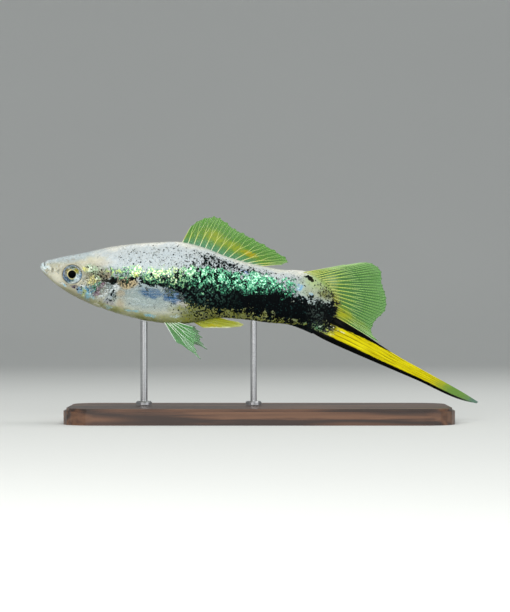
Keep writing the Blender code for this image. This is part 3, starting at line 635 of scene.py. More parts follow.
BACK_SPECKS = ((0, 0.0), (18, 0.0), (21, 0.3), (35, 0.36), (40, 0.66), (46, 0.95), (54, 0.74), (62, 0.62),
               (70, 0.3), (80, 0.3))
RAYS_MEET = (55.7, -3.7)  # roughly where the lines of the tail's rays would cross
FLESH_END = ((0, 67.6), (2, 69.2), (4, 71.6), (6, 73.4), (8, 74.4), (14, 74.5), (20, 74.5))  # by depth under the snout

markings, w, ins, outs = new_group(
    "markings", [("Position", "Vector", None)],
    [("Colour", "Color", None), ("Glitter", "Float", None), ("Dark", "Float", None), ("Flesh", "Float", None)],
)
here = w.fish(ins.outputs[0])
split = w.node("ShaderNodeSeparateXYZ", {0: here})
along, up = split.outputs["X"], split.outputs["Z"]
grain = w.noise(here, 0.4, 1.0)
speckle = w.noise(here, 0.8, 2.0, 0.6)
lump = w.noise(here, 2.2, 2.0)
cloud = w.noise(here, 6.0, 2.0)
cell = w.cells(w.stretch(w.wander(here, 0.3, 0.16, 1.0), (1, 1, 0.7)), 0.4)
off_grain, off_speckle, off_lump, off_cloud, off_cell = (
    w.less(noise, 0.5) for noise in (grain, speckle, lump, cloud, cell)
)
bent = w.wander(w.wander(here, 1.6, 1.0), 0.5, 0.4, 1.0)
over_belly = w.less(up, w.curve(along, BELLY))
under_back = w.less(w.curve(along, BACK[7:]), up)
height_share = w.math("DIVIDE", over_belly, w.add(over_belly, under_back))
height_share = w.add(height_share, w.times(off_cloud, 0.2), w.times(off_lump, 0.1))
outward_x, outward_z = w.less(along, RAYS_MEET[0]), w.less(up, RAYS_MEET[1])
ray_angle = w.math("ARCTAN2", outward_z, w.math("MAXIMUM", outward_x, 0.1))
ray_place = w.node("ShaderNodeCombineXYZ", {0: w.times(ray_angle, 50.0), 1: w.times(outward_x, 0.3), 2: 0.0}).outputs[0]
off_ray = w.less(w.noise(ray_place, 1.0, 2.0), 0.5)
past_flesh = w.less(along, w.curve(w.math("MAXIMUM", w.less(0.0, up), 0.0), FLESH_END, 20.0, 60.0, 80.0))
print("the markings know where they are")

# %% [markdown]
# ### The pale ground
#
# Under the bands the skin is a soft blend: silver lilac along the back with a cream edge, silver blue
# on the flank, and tan to olive along the belly. The head is warmer and its chin is sand coloured.
# The cream edge is partly a painted highlight, and the darkest olive along the lowest edge is partly
# painted shade.

# %% Paint the ground
# Partly painted light: the cream at the top of the silver ramp is partly a painted highlight, and the dark olive at the
# lowest edge of both ramps is partly painted shade.
silver = w.ramp(height_share, [
    (0.0, paint("858a48")), (0.05, paint("a7aa78")), (0.12, paint("cccfbc")), (0.2, paint("b2bab0")),
    (0.3, paint("8f9f9e")), (0.5, paint("a2b2b4")), (0.65, paint("b7c4c6")), (0.8, paint("c2cccf")),
    (0.92, paint("c6cdcd")), (0.985, paint("d8d8cc")),
])
head = w.ramp(height_share, [
    (0.0, paint("7a784e")), (0.07, paint("918e68")), (0.16, paint("b5b197")), (0.28, paint("cbc8b0")),
    (0.45, paint("cbc8b2")), (0.62, paint("bfbda5")), (0.8, paint("b3b29c")), (0.92, paint("adb9ba")),
    (1.0, paint("b9c5c6")),
])
ground = w.mix(w.step(w.add(along, w.times(off_lump, 9.0), w.times(off_speckle, 4.0)), 11.0, 18.0), head, silver)
mouth = w.patch(bent, (1.2, -0.3), (1.7, 1.5), 30, 0.5)
ground = w.mix(w.times(mouth, 0.85), ground, paint("d6e6ea"))
olive = w.mix(w.step(lump, 0.35, 0.65), paint("6c7330"), paint("98993c"))
rear_low = w.times(
    w.step(w.add(along, w.times(off_lump, 9.0)), 31.0, 37.0),
    w.step(w.add(height_share, w.times(off_speckle, 0.12)), 0.5, 0.3),
)
ground = w.mix(rear_low, ground, olive)
ground = w.mix(w.times(w.step(w.math("ABSOLUTE", w.add(off_grain, off_speckle)), 0.02, 0.3), 0.3), ground, paint("7f8a8c"))
flecks = w.times(w.step(w.add(off_grain, w.times(off_lump, 0.6)), 0.04, 0.26), w.step(height_share, 0.1, 0.4, 0.1, 0.4))
ground = w.mix(flecks, ground, paint("eef1ee"))
freckles = w.times(w.step(w.noise(here, 0.9, 1.0), 0.6, 0.68), w.step(along, 14.0, 9.0), 0.45)
ground = w.mix(w.times(freckles, w.step(height_share, 0.3, 0.5)), ground, paint("94866c"))

SOFT_PATCHES = (  # colour, middle, reach, turn, strength, softness of the edge
    # The fold under the lower lip is painted darker: painted shade in the crease.
    ("9a9172", (1.6, -1.02), (1.0, 0.3), 18, 0.8, 0.5),  # the fold under the lower lip
    # The two nostrils are painted darker grey: painted shade in their pits.
    ("83877d", (3.44, -1.05), (0.36, 0.75), 15, 0.75, 0.5),  # nostrils
    ("8b8d80", (4.66, -1.45), (0.52, 0.54), 0, 0.75, 0.5),
    ("d6d2b8", (13.6, 1.3), (3.4, 1.3), -12, 0.65, 0.9),  # cream over and behind the eye
    ("c6bda2", (15.5, 0.6), (3.4, 1.2), -4, 0.55, 0.9),
    ("74765a", (14.0, -1.8), (3.4, 2.4), 20, 0.85, 0.7),
    ("a18c66", (16.6, -2.3), (1.9, 1.6), 0, 0.75, 0.6),
    ("b8a67e", (21.8, -4.2), (3.1, 1.7), 4, 0.95, 0.35),
    ("c4b08c", (20.3, -6.8), (1.2, 1.0), 0, 0.6, 0.7),  # where the pectoral fin is rooted
    ("b8a684", (20.4, -9.4), (1.0, 1.6), 0, 0.6, 0.7),
    ("94966c", (14.6, -9.6), (3.4, 1.1), 24, 0.75, 0.9),
    ("dad8c4", (4.8, -3.3), (2.8, 1.5), 25, 0.75, 0.9),
    ("a3b3b0", (26.4, -8.9), (6.0, 2.6), 6, 0.7, 0.9),
    ("3a6288", (28.0, -6.8), (3.2, 1.35), 5, 1.0, 0.35),
    ("2c5c8a", (33.6, -7.5), (3.2, 2.1), 14, 1.0, 0.3),
    ("c9c6c0", (35.4, -9.4), (1.8, 0.8), 20, 0.6, 0.6),
    ("a8b8a2", (66.2, -4.9), (2.2, 3.4), 14, 0.8, 0.6),
    ("a9bd84", (69.6, -4.2), (3.6, 2.8), 30, 0.95, 0.7),
    ("7f8550", (71.6, -7.0), (3.0, 2.2), 20, 1.0, 0.8),
    ("98a080", (67.8, -6.8), (2.2, 1.8), 20, 0.7, 0.8),
    ("56754e", (68.4, -14.6), (5.0, 1.6), 22, 0.85, 0.6),
)
streak = w.step(w.noise(w.stretch(here, (0.25, 1, 2.4)), 0.8, 1.0), 0.44, 0.58)
for tint, middle, reach, turn, strength, soft in SOFT_PATCHES:
    ground = w.mix(w.times(w.patch(bent, middle, reach, turn, soft), strength), ground, paint(tint))
on_blue = w.patch(bent, (30.8, -7.2), (6.0, 2.4), 10, 0.5)
ground = w.mix(w.times(on_blue, streak, 0.22), ground, paint("9fb0b4"))
rays_begin = w.times(w.step(along, 68.0, 71.0), w.step(up, -7.6, -5.6), w.step(off_ray, 0.0, 0.09))
ground = w.mix(w.times(rays_begin, 0.6), ground, paint("c4d8a0"))
ground = w.mix(w.step(past_flesh, -2.4, -0.6), ground, w.mix(w.step(up, -9.0, -5.0), paint("7d7f24"), paint("8ba458")))
print("ground painted")

# %% [markdown]
# ### Specks, the black band and the green band
#
# Specks appear where fine noise passes a limit, and the limit changes over the body: rare behind the
# head, thick in front of the tail. The black band is solid in the middle and breaks up into the same
# grains at its edges. The green is made of three tints that change over a scale's width.

# %% Paint the dark markings
SPECK_PATCHES = (  # middle, reach, turn, how much they raise the share of dark
    ((18.0, -2.8), (4.2, 2.4), 0, 0.14),
    ((22.0, -4.2), (3.4, 2.0), 0, 0.04),
    ((9.6, -5.6), (1.8, 1.1), 30, 0.17),
    ((12.6, -5.4), (2.6, 2.0), 20, 0.16),
    ((14.2, -1.8), (3.4, 2.4), 15, 0.13),
    ((16.8, -3.9), (1.5, 1.3), 0, 0.08),
    ((18.6, -7.2), (1.1, 1.7), 20, 0.28),
    ((16.6, -8.6), (2.4, 1.2), 10, 0.12),
    ((41.0, -11.6), (8.0, 3.4), 8, 0.2),
    ((55.0, -12.8), (10.0, 2.4), 6, 0.2),
    ((67.5, -3.1), (1.25, 0.6), 38, 0.6),
    ((72.0, -6.9), (2.4, 2.6), 0, 0.15),
    ((67.4, -8.0), (2.6, 1.2), 10, 0.14),
    ((69.0, -14.8), (4.6, 2.2), 22, 0.26),
    ((33.5, -9.4), (1.2, 0.8), 20, 0.2),
)
on_back = w.times(w.step(over_belly, 8.0, 12.0), w.step(under_back, 0.1, 2.0))
spread = w.times(w.curve(along, BACK_SPECKS, low=0.0, high=1.0), on_back, 0.265)
for middle, reach, turn, raised in SPECK_PATCHES:
    spread = w.add(spread, w.times(w.patch(here, middle, reach, turn, 0.8), raised))
dotted = w.add(
    w.noise(here, 0.62, 1.0, 0.4), w.times(off_grain, 0.4), w.times(off_lump, 0.35), w.times(off_cell, 0.1), spread
)
specks = w.step(dotted, 0.79, 0.85)
amount = w.math("MINIMUM", w.times(spread, 3.0), 1.0)
for size, biggest in ((0.62, 0.36), (0.34, 0.3)):
    apart, chance = w.dots(w.wander(here, 0.5, 0.1, 1.0), size)
    dot = w.step(w.less(w.add(apart, w.times(off_grain, 0.8)), w.add(0.2, w.times(amount, biggest))), 0.06, -0.06)
    specks = w.math("MAXIMUM", specks, w.times(dot, w.step(w.less(w.times(amount, 0.85), chance), 0.0, 0.05)))
smudge = w.times(w.step(w.add(lump, w.times(spread, 1.2), w.times(off_speckle, 0.7), w.times(off_grain, 0.5)), 0.66, 0.9), 0.6)
ragged = w.add(w.times(off_lump, 6.0), w.times(off_speckle, 5.0), w.times(off_grain, 2.8), w.times(off_cell, 0.9))
over_foot = w.step(w.add(w.less(up, w.curve(along, BLACK_FOOT)), ragged), -0.3, 0.3)
under_top = w.step(w.less(w.less(up, w.curve(along, BLACK_TOP)), ragged), 0.3, -0.3)
begun = w.step(w.add(along, w.times(off_lump, 9.0), w.times(off_speckle, 6.0)), 21.4, 23.2)
ended = w.step(w.add(past_flesh, w.times(off_ray, 7.0), w.times(off_cell, 0.4)), 0.35, -0.35)
black = w.times(over_foot, under_top, begun, ended)
first_patch = w.patch(w.wander(here, 1.0, 0.9), (18.6, -3.8), (1.15, 1.2), 0, 0.3)
edge_width = w.curve(along, ((0, 0), (61, 0.0), (64, 0.6), (67, 1.15), (72, 1.25), (80, 1.3)), low=0.0, high=2.0)
edge_line = w.times(w.step(w.less(over_belly, edge_width), 0.12, -0.12), w.step(along, 61.5, 63.0))
black = w.math("MAXIMUM", w.math("MAXIMUM", black, first_patch), w.math("MAXIMUM", edge_line, specks))
ink = w.mix(w.times(w.step(grain, 0.58, 0.7), w.step(lump, 0.4, 0.6)), paint("010406"), paint("16302e"))
ink = w.mix(w.times(w.patch(here, (13.0, -2.6), (5.4, 4.4), 10, 0.8), 0.8), ink, paint("2a281a"))
ink = w.mix(w.times(w.patch(here, (70.6, -5.6), (4.0, 3.0), 20, 0.8), 0.75), ink, paint("3c3c24"))
dust = w.times(w.patch(bent, (69.2, -11.2), (2.4, 4.0), 0, 0.8), w.step(w.add(grain, w.times(off_speckle, 0.6)), 0.46, 0.66))
ink = w.mix(w.times(dust, 0.36), ink, paint("56645e"))
# Painted sheen: a teal green dapple of highlights over the black band.
dapple = w.times(w.patch(here, (38.2, -6.3), (10.6, 3.8), 8, 0.8), w.step(w.add(cell, w.times(off_grain, 2.2)), 0.5, 0.95))
ink = w.mix(w.times(dapple, 0.55), ink, paint("446a5e"))
print("black painted")

# %% Paint the green band and the glints
below = w.add(w.less(up, w.curve(along, GREEN_FOOT)), w.times(off_lump, 7.0), w.times(off_grain, 3.0), off_cell)
above = w.less(w.less(up, w.curve(along, GREEN_TOP)), w.add(w.times(off_lump, 3.4), w.times(off_speckle, 2.0)))
green_mask = w.times(
    w.step(below, -1.0, -0.3), w.step(above, 0.35, -0.35), w.step(along, 15.8, 17.6),
    w.step(w.add(along, w.times(off_speckle, 8.0)), 65.0, 63.0),
)
drips = w.noise(w.stretch(here, (1, 1, 0.55)), 1.3, 4.0, 0.68)
beat = w.times(w.math("COSINE", w.times(w.add(along, w.times(up, 0.35)), 2 * math.pi / SCALE_LENGTH)), 0.025)
full = w.add(drips, beat, w.times(off_grain, 0.4), w.times(off_cell, 0.13))
margin = w.less(full, w.curve(along, GREEN_FULL, low=0.3, high=0.7))
cover = w.step(margin, -0.05, 0.01)
green_mask = w.times(green_mask, cover)
fading = w.step(below, 2.2, -0.9)
shade = w.curve(along, GREEN_TONE, low=-0.2, high=0.2)
tone = w.add(w.times(cell, 0.46), w.times(margin, 1.7), w.times(off_grain, 1.1), w.times(fading, -0.5), 0.17, shade)
# Partly painted light: the near-white stops at the top of both ramps are painted highlights, sparkle on the brightest
# cells; the rest is the band's own green.
front_green = w.ramp(tone, [
    (0.0, paint("18382c")), (0.22, paint("3f7c5c")), (0.46, paint("73ac80")), (0.64, paint("9cb872")),
    (0.82, paint("ccd6a0")), (0.98, paint("f0f2e2")),
])
rear_green = w.ramp(tone, [
    (0.0, paint("0a2822")), (0.24, paint("1d5c45")), (0.48, paint("3b966e")), (0.68, paint("68c094")),
    (0.88, paint("a4e4be")), (1.0, paint("dcf7e2")),
])
green = w.mix(w.step(w.add(along, w.times(off_cloud, 18.0)), 34.0, 46.0), front_green, rear_green)
green = w.mix(w.times(w.patch(bent, (18.4, -1.3), (2.4, 0.9), 0, 0.8), w.step(cell, 0.2, 0.8), 0.6), green, paint("b9bc3c"))
green = w.mix(w.times(w.patch(bent, (24.4, -2.6), (1.3, 0.8), 40, 0.8), 0.6), green, paint("c4c658"))

GLINTS = (  # colour, middle, reach, turn, strength
    ("9cc49a", (13.6, -1.0), (2.4, 1.2), 10, 0.6),
    ("c8c45c", (11.6, -0.6), (1.1, 0.6), 20, 0.8),
    ("5b97ae", (12.4, -6.5), (2.1, 1.9), -25, 0.95),
    ("a6dcea", (12.9, -7.2), (1.7, 0.9), 35, 0.65),
    ("3d8fb8", (11.7, -5.8), (0.9, 0.9), 0, 0.8),
    ("2f9678", (14.6, -5.0), (1.4, 1.1), 20, 1.0),
    ("e8e08e", (13.7, -3.6), (2.1, 1.1), -28, 1.0),
    ("b8e4c0", (14.6, -2.9), (1.0, 0.7), 10, 0.8),
    ("bcc83e", (11.3, -6.6), (0.5, 1.5), 10, 0.85),
    ("7d4a6e", (15.1, -5.6), (0.6, 2.5), 46, 0.9),
    ("7b4a80", (14.4, -6.9), (1.2, 0.5), 0, 0.7),
    ("dbe7ea", (16.8, -6.8), (0.6, 2.6), 55, 0.85),
    ("b6c7d2", (17.4, -8.0), (0.7, 2.0), 50, 0.7),
    ("e4edf0", (19.2, -5.5), (1.0, 1.3), 30, 0.9),
    ("7c7388", (17.6, -9.2), (1.9, 0.7), 12, 0.6),
    ("4c385c", (9.2, -5.5), (1.1, 0.8), 20, 0.85),
    ("6fa4c8", (10.3, -6.2), (1.1, 0.8), 30, 0.9),
    ("dfe9ea", (11.0, -5.0), (0.9, 0.5), 0, 0.7),
    ("f2f0d8", (14.6, -9.6), (1.0, 0.5), 20, 0.35),
    ("86cbe8", (6.4, -4.9), (0.75, 0.4), 25, 0.95),
    ("dbe8ec", (5.6, -4.5), (0.6, 0.35), 20, 0.8),
    ("96d6e6", (23.2, -11.2), (2.2, 0.35), 8, 0.95),
    ("9cdaea", (27.6, -12.3), (1.5, 0.45), 16, 0.95),
    ("cfe6ea", (33.6, -12.6), (1.2, 0.4), 10, 0.8),
    ("94cade", (17.2, -10.2), (0.9, 0.35), 12, 0.8),
    ("c8d8dc", (25.4, -9.4), (3.6, 0.3), 8, 0.7),
    ("c8d8dc", (24.6, -8.4), (3.4, 0.25), 4, 0.6),
    ("5f8fc4", (51.4, -1.6), (1.6, 0.6), 22, 0.85),
    ("6c9cc8", (54.5, -2.7), (1.6, 0.5), 25, 0.75),
    ("74aed6", (65.0, -5.4), (0.9, 0.9), 0, 0.85),
    ("84bce0", (67.8, -7.4), (0.45, 0.8), 0, 0.9),
    ("b7b430", (66.9, -14.7), (1.0, 0.5), 20, 0.95),
    ("4f8f62", (69.6, -15.2), (1.8, 0.7), 28, 0.7),
    ("b4bc3c", (72.4, -16.4), (1.8, 0.7), 28, 0.85),
)
glint_grain = w.step(w.add(w.times(off_cell, 0.24), off_grain, w.times(off_speckle, 0.5)), -0.14, 0.02)
colour, glitter = ground, 0.0
for tint, middle, reach, turn, strength in GLINTS:
    mask = w.times(w.patch(bent, middle, reach, turn, 0.5), strength, w.add(0.3, w.times(glint_grain, 0.7)))
    colour = w.mix(mask, colour, paint(tint))
    glitter = w.math("MAXIMUM", mask, glitter)
# Painted highlight: white sparkle on random cells where the skin glitters.
colour = w.mix(w.times(w.step(cell, 0.72, 0.95), glitter, 0.6), colour, paint("f2f4ea"))
on_gill = w.patch(bent, (15.4, -4.2), (5.6, 4.6), 10, 0.8)
from_border = w.add(w.borders(w.wander(here, 0.7, 0.3), 0.8), w.times(off_grain, 0.9))
colour = w.mix(w.times(w.step(from_border, 0.24, 0.1), on_gill, 0.68), colour, paint("35321f"))
on_net = w.patch(bent, (21.8, -4.2), (3.3, 1.9), 4, 0.5)
colour = w.mix(w.times(w.step(from_border, 0.16, 0.28), on_net, 0.9), colour, paint("2e2c1c"))
colour = w.mix(w.times(smudge, w.less(1.0, glitter)), colour, paint("586661"))
colour = w.mix(black, colour, ink)
colour = w.mix(green_mask, colour, green)
glitter = w.math("MAXIMUM", green_mask, w.times(glitter, w.less(1.0, black)))
w.put(outs.inputs["Colour"], colour)
w.put(outs.inputs["Glitter"], glitter)
w.put(outs.inputs["Dark"], w.times(black, w.less(1.0, green_mask)))
w.put(outs.inputs["Flesh"], w.step(w.add(past_flesh, w.times(off_ray, 7.0)), 1.1, -0.5))
print("markings group has", len(markings.nodes), "nodes")

# %% [markdown]
# ## Skin and scale finish
#
# Fish skin is wet: a thin clear coat over pigment. Where it glitters, tiny plates in the skin act as
# mirrors, so those places get a little metal. Scale edges are drawn by the same formula as the mesh's
# relief, as a fine bump and a faint painted shade along each rear edge, and they fade on the bare head.


# %% Make the skin material
def scale_edges(w, lie_map):
    """0 to 1 over each scale, from its front to its rear edge, read from the Lie map."""
    split = w.node("ShaderNodeSeparateXYZ", {0: lie_map})
    column, row = split.outputs["X"], split.outputs["Y"]
    ahead = []
    for shift in (0.0, 0.5):
        across = w.less(w.times(w.math("FRACT", w.add(w.times(row, 0.5), shift)), 2.0), 1.0)
        ahead.append(w.math("FRACT", w.add(column, shift, w.times(across, across, 0.5))))
    return w.math("MAXIMUM", *ahead), column


def wet_finish(name, with_edges):
    material, w, shader = new_material(name)
    position = w.node("ShaderNodeTexCoord").outputs["Object"]
    marks = w.node("ShaderNodeGroup", node_tree=markings)
    w.put(marks.inputs[0], position)
    colour, glitter, dark = (marks.outputs[name] for name in ("Colour", "Glitter", "Dark"))
    fine = w.noise(position, 0.0004, 2.0)
    bump_height = w.times(fine, 0.4)
    if with_edges:
        edge, column = scale_edges(w, w.node("ShaderNodeUVMap", uv_map="Lie").outputs[0])
        on_body = w.step(column, 16.0 / SCALE_LENGTH, 20.0 / SCALE_LENGTH)
        # Painted shade: a faint darkening along each scale's rear edge, where it overlaps the next.
        rim = w.times(w.step(edge, 0.84, 0.98), on_body, 0.12)
        colour = w.mix(rim, colour, paint("40505a"), "MULTIPLY")
        bump_height = w.add(bump_height, w.times(edge, on_body, 0.4))
    w.put(shader.inputs["Base Color"], colour)
    w.put(shader.inputs["Metallic"], w.times(glitter, 0.3))
    rough = w.add(0.38, w.times(glitter, -0.12), w.times(dark, 0.1), w.times(w.less(fine, 0.5), 0.2))
    w.put(shader.inputs["Roughness"], rough)
    bump = w.node("ShaderNodeBump", {"Height": bump_height, "Strength": 0.45, "Distance": 0.00008})
    w.put(shader.inputs["Normal"], bump.outputs[0])
    w.put(shader.inputs["Coat Weight"], w.less(0.45, w.times(dark, 0.445)))
    shader.inputs["Coat Roughness"].default_value = 0.2
    shader.inputs["Specular IOR Level"].default_value = 0.04
    shader.inputs["Subsurface Weight"].default_value = 0.08
    shader.inputs["Subsurface Radius"].default_value = (1.0, 0.7, 0.5)
    shader.inputs["Subsurface Scale"].default_value = 0.0006
    return material


skin_material = wet_finish("wet_skin", True)
skin_mesh.materials.append(skin_material)
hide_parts("head", "lower_jaw", "gill_cover_left", "gill_cover_right", "trunk", "tail_stalk")
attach(skin, "root")
print("skin dressed")

# %% [markdown]
# ## Scales
#
# Real scales are thin plates, each rooted in the skin and lying over the front of the one behind. The
# part that shows is a crescent along the rear edge. Each is made here as its own closed plate on the
# same pattern as the relief: it rises from the skin and its free edge stands clear of it. A crescent
# is narrow on purpose, so that most of what one sees is still the skin, with its full detail.
#
# On the bake map each scale keeps to a tiny patch at the place where it is rooted.

# %% Make the scales
PLATE_ACROSS, PLATE_ALONG = 11, 4
PLATE_DEPTH = 0.34  # of a scale's length
PLATE_LIFT, PLATE_THICK, PLATE_ROOT_SINK = 0.042, 0.026, 0.03
PATCH = 0.0035
SIDE_STEPS = 720

side_at = np.stack([np.interp(np.linspace(0, 1, SIDE_STEPS + 1), row, np.arange(SKIN_SIDES + 1)) for row in around])


def on_skin(station, wrap, lift):
    """Points at a height over the skin, and their share of the length."""
    share = (np.clip(station, 0.1, BODY_END) / BODY_END) ** (1 / RING_CROWDING)
    ring = np.clip(share * (SKIN_RINGS - 0.7) - 0.3, 0, SKIN_RINGS - 1.001)
    low = ring.astype(int)
    found = np.zeros(station.shape + (3,))
    for at, weight in ((low, 1 - (ring - low)), (low + 1, ring - low)):
        side = side_at[at, np.round((wrap % 1) * SIDE_STEPS).astype(int)]
        first = side.astype(int) % SKIN_SIDES
        part = (side - side.astype(int))[..., None]
        for column, portion in ((first, 1 - part), ((first + 1) % SKIN_SIDES, part)):
            raised = points[at, column] + normals[at, column] * lift[..., None]
            found += weight[..., None] * portion * raised
    return found, share


rng = np.random.default_rng(RANDOM_SEED)
f, t = np.meshgrid(np.linspace(-1, 1, PLATE_ACROSS), np.linspace(0, 1, PLATE_ALONG), indexing="ij")
depth = PLATE_DEPTH * (1 - 0.5 * f**2)
top = -PLATE_ROOT_SINK + (PLATE_LIFT + PLATE_ROOT_SINK) * t**0.8 * (1 - 0.75 * np.abs(f) ** 3)
under = top - 0.012 - (PLATE_THICK - 0.012) * t
roots = []
for row in range(SCALES_AROUND):
    shift = 0.0 if row % 2 else 0.5
    for column in range(int(SCALES_FROM / SCALE_LENGTH), int(SCALES_TO / SCALE_LENGTH) + 1):
        roots.append((column - shift, row))
roots = np.array(roots)
middle, _ = on_skin((roots[:, 0] - 0.2) * SCALE_LENGTH, roots[:, 1] / SCALES_AROUND, np.zeros(len(roots)))
kept = scaled_part(middle[:, 0], middle[:, 2], roots[:, 0] * SCALE_LENGTH) > 0.6
roots = roots[kept]
count, each = len(roots), PLATE_ACROSS * PLATE_ALONG
column = roots[:, 0, None, None] - 0.5 * f**2 - depth * (1 - t) + rng.normal(0, 0.012, (count, 1, 1))
wrap = (roots[:, 1, None, None] + f * 0.99) / SCALES_AROUND
loose = rng.uniform(0.8, 1.25, (count, 1, 1))
upper, share = on_skin(column * SCALE_LENGTH, wrap + 0 * column, top * loose)
lower, _ = on_skin(column * SCALE_LENGTH, wrap + 0 * column, under * loose)
plate = np.concatenate([upper.reshape(count, each, 3), lower.reshape(count, each, 3)], axis=1)
a = (np.arange(PLATE_ACROSS - 1)[:, None] * PLATE_ALONG + np.arange(PLATE_ALONG - 1)).reshape(-1)
cells = np.stack([a, a + PLATE_ALONG, a + PLATE_ALONG + 1, a + 1], axis=-1)
rim = [k * PLATE_ALONG for k in range(PLATE_ACROSS)] + [each - PLATE_ALONG + k for k in range(1, PLATE_ALONG)]
rim += [k * PLATE_ALONG + PLATE_ALONG - 1 for k in range(PLATE_ACROSS - 2, -1, -1)] + list(range(PLATE_ALONG - 2, 0, -1))
rim = np.array(rim)
following = np.roll(rim, -1)
wall = np.stack([rim, rim + each, following + each, following], axis=-1)
one = np.concatenate([cells, cells[:, ::-1] + each, wall])
faces = (one[None] + (np.arange(count) * 2 * each)[:, None, None]).reshape(-1, 4)
scale_mesh = bpy.data.meshes.new("scales")
scale_mesh.from_pydata(place(*plate.reshape(-1, 3).T).tolist(), [], faces.tolist())
root_share = share[:, PLATE_ACROSS // 2, 0]
corner = unrolled(root_share, roots[:, 1] / SCALES_AROUND)[:, None]
spot = np.stack([t.reshape(-1) - 0.5, f.reshape(-1) / 2], axis=-1) * PATCH
spots = np.concatenate([spot, spot * 0.9], axis=0)[None] + corner
add_map(scale_mesh, "OFBake", spots.reshape(-1, 2)[loop_vertices(scale_mesh)])
scale_mesh.shade_smooth()
scale_mesh.set_sharp_from_angle(angle=math.radians(50))
scale_mesh.materials.append(wet_finish("wet_scales", False))
scales = bpy.data.objects.new("scales", scale_mesh)
bpy.context.scene.collection.objects.link(scales)
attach(scales, "root")
print(count, "scales with", 2 * len(faces), "triangles")

# %% [markdown]
# ## The fins
#
# A fin is a clear web held out by rays. Each ray is a stack of tiny bones that forks towards its tip,
# and the web falls back a little between the tips. Every fin here is one formula that gives the middle
# of the sheet for a place across the rays and a place along them. The web is a thin closed sheet made
# from it, and the rays are lines on it that Geometry Nodes turn into round, tapering rods.

# %% One formula for every fin
WEB_THICK = 0.16


def fin_form(root, margin, side=None, bend=0.0, notch=0.05, rays=12):
    """A function from (across, along), each 0 to 1, to the middle of the fin's sheet in millimetres."""

    def at(u, v):
        u, v = np.broadcast_arrays(np.asarray(u, float), np.asarray(v, float))
        start, end = root(u), margin(u)
        between = np.sin(np.pi * u * (rays - 1)) ** 2
        reach = 1 - notch * (0.6 * between + 0.4 * np.sin(2 * np.pi * u * (rays - 1)) ** 2)
        across = np.stack([start[..., 1] - end[..., 1], end[..., 0] - start[..., 0]], axis=-1)
        v = v[..., None]
        here = start + (end - start) * v * reach[..., None] + across * bend * v * (1 - v)
        y = side(here, u, v[..., 0]) if side else np.zeros(u.shape)
        return np.stack([here[..., 0], y, here[..., 1]], axis=-1)

    return at


def outward(obj):
    """Turns every face to point out of its closed mesh."""
    shape = bmesh.new()
    shape.from_mesh(obj.data)
    bmesh.ops.recalc_face_normals(shape, faces=shape.faces)
    shape.to_mesh(obj.data)
    shape.free()


def sheet(name, form, columns, rows, half_thickness, material, nodes):
    """A closed sheet with both faces, and maps that run across and along it."""
    u, v = np.meshgrid(np.linspace(0, 1, columns), np.linspace(0, 1, rows), indexing="ij")
    middle = form(u, v)
    half = np.broadcast_to(half_thickness(u, v), u.shape)
    near, far = middle.copy(), middle.copy()
    near[..., 1] -= half
    far[..., 1] += half
    count = columns * rows
    corners = np.vstack([place(*near.reshape(-1, 3).T), place(*far.reshape(-1, 3).T)])
    c, r = np.meshgrid(np.arange(columns - 1), np.arange(rows - 1), indexing="ij")
    a = (c * rows + r).reshape(-1)
    quads = np.stack([a, a + rows, a + rows + 1, a + 1], axis=-1)
    rim = list(range(rows)) + [k * rows + rows - 1 for k in range(1, columns)]
    rim += [(columns - 1) * rows + k for k in range(rows - 2, -1, -1)] + [k * rows for k in range(columns - 2, 0, -1)]
    rim = np.array(rim)
    following = np.roll(rim, -1)
    faces = np.concatenate([quads, quads[:, ::-1] + count, np.stack([rim, following, following + count, rim + count], -1)])
    mesh = bpy.data.meshes.new(name)
    mesh.from_pydata(corners.tolist(), [], faces.tolist())
    web = np.stack([np.tile(u.reshape(-1), 2), np.tile(v.reshape(-1), 2)], axis=-1)
    bake = web * (0.46, MAP_SPAN) + MAP_MARGIN
    bake[count:, 0] += 0.5
    per_corner = bake[faces]
    walls = slice(2 * len(quads), None)  # the rim keeps beside the near face's own edge on the map
    per_corner[walls, 2:] = per_corner[walls, 1::-1] + np.where(per_corner[walls, 1::-1] > 0.25, 0.003, -0.003)
    add_map(mesh, "Web", web[faces])
    add_map(mesh, "OFBake", per_corner)
    mesh.shade_smooth()
    mesh.materials.append(material)
    obj = bpy.data.objects.new(name, mesh)
    bpy.context.scene.collection.objects.link(obj)
    outward(obj)
    if nodes:
        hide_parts(*nodes)
    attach(obj, "root")
    return obj


print("fins can be made")

# %% [markdown]
# ### Rods from lines
#
# The tree takes lines with a thickness at each point, and sweeps a small circle along them. It also
# writes the bake map: each rod is a narrow strip at its own place on the fin.

# %% A node tree that makes rods
def geometry_tree(name, inputs):
    tree = bpy.data.node_groups.new(name, "GeometryNodeTree")
    tree.interface.new_socket("Geometry", in_out="INPUT", socket_type="NodeSocketGeometry")
    for socket_name, kind, start in inputs:
        socket = tree.interface.new_socket(socket_name, in_out="INPUT", socket_type="NodeSocket" + kind)
        if start is not None:
            socket.default_value = start
    tree.interface.new_socket("Geometry", in_out="OUTPUT", socket_type="NodeSocketGeometry")
    ins, outs = tree.nodes.new("NodeGroupInput"), tree.nodes.new("NodeGroupOutput")
    return tree, Wiring(tree), ins, outs


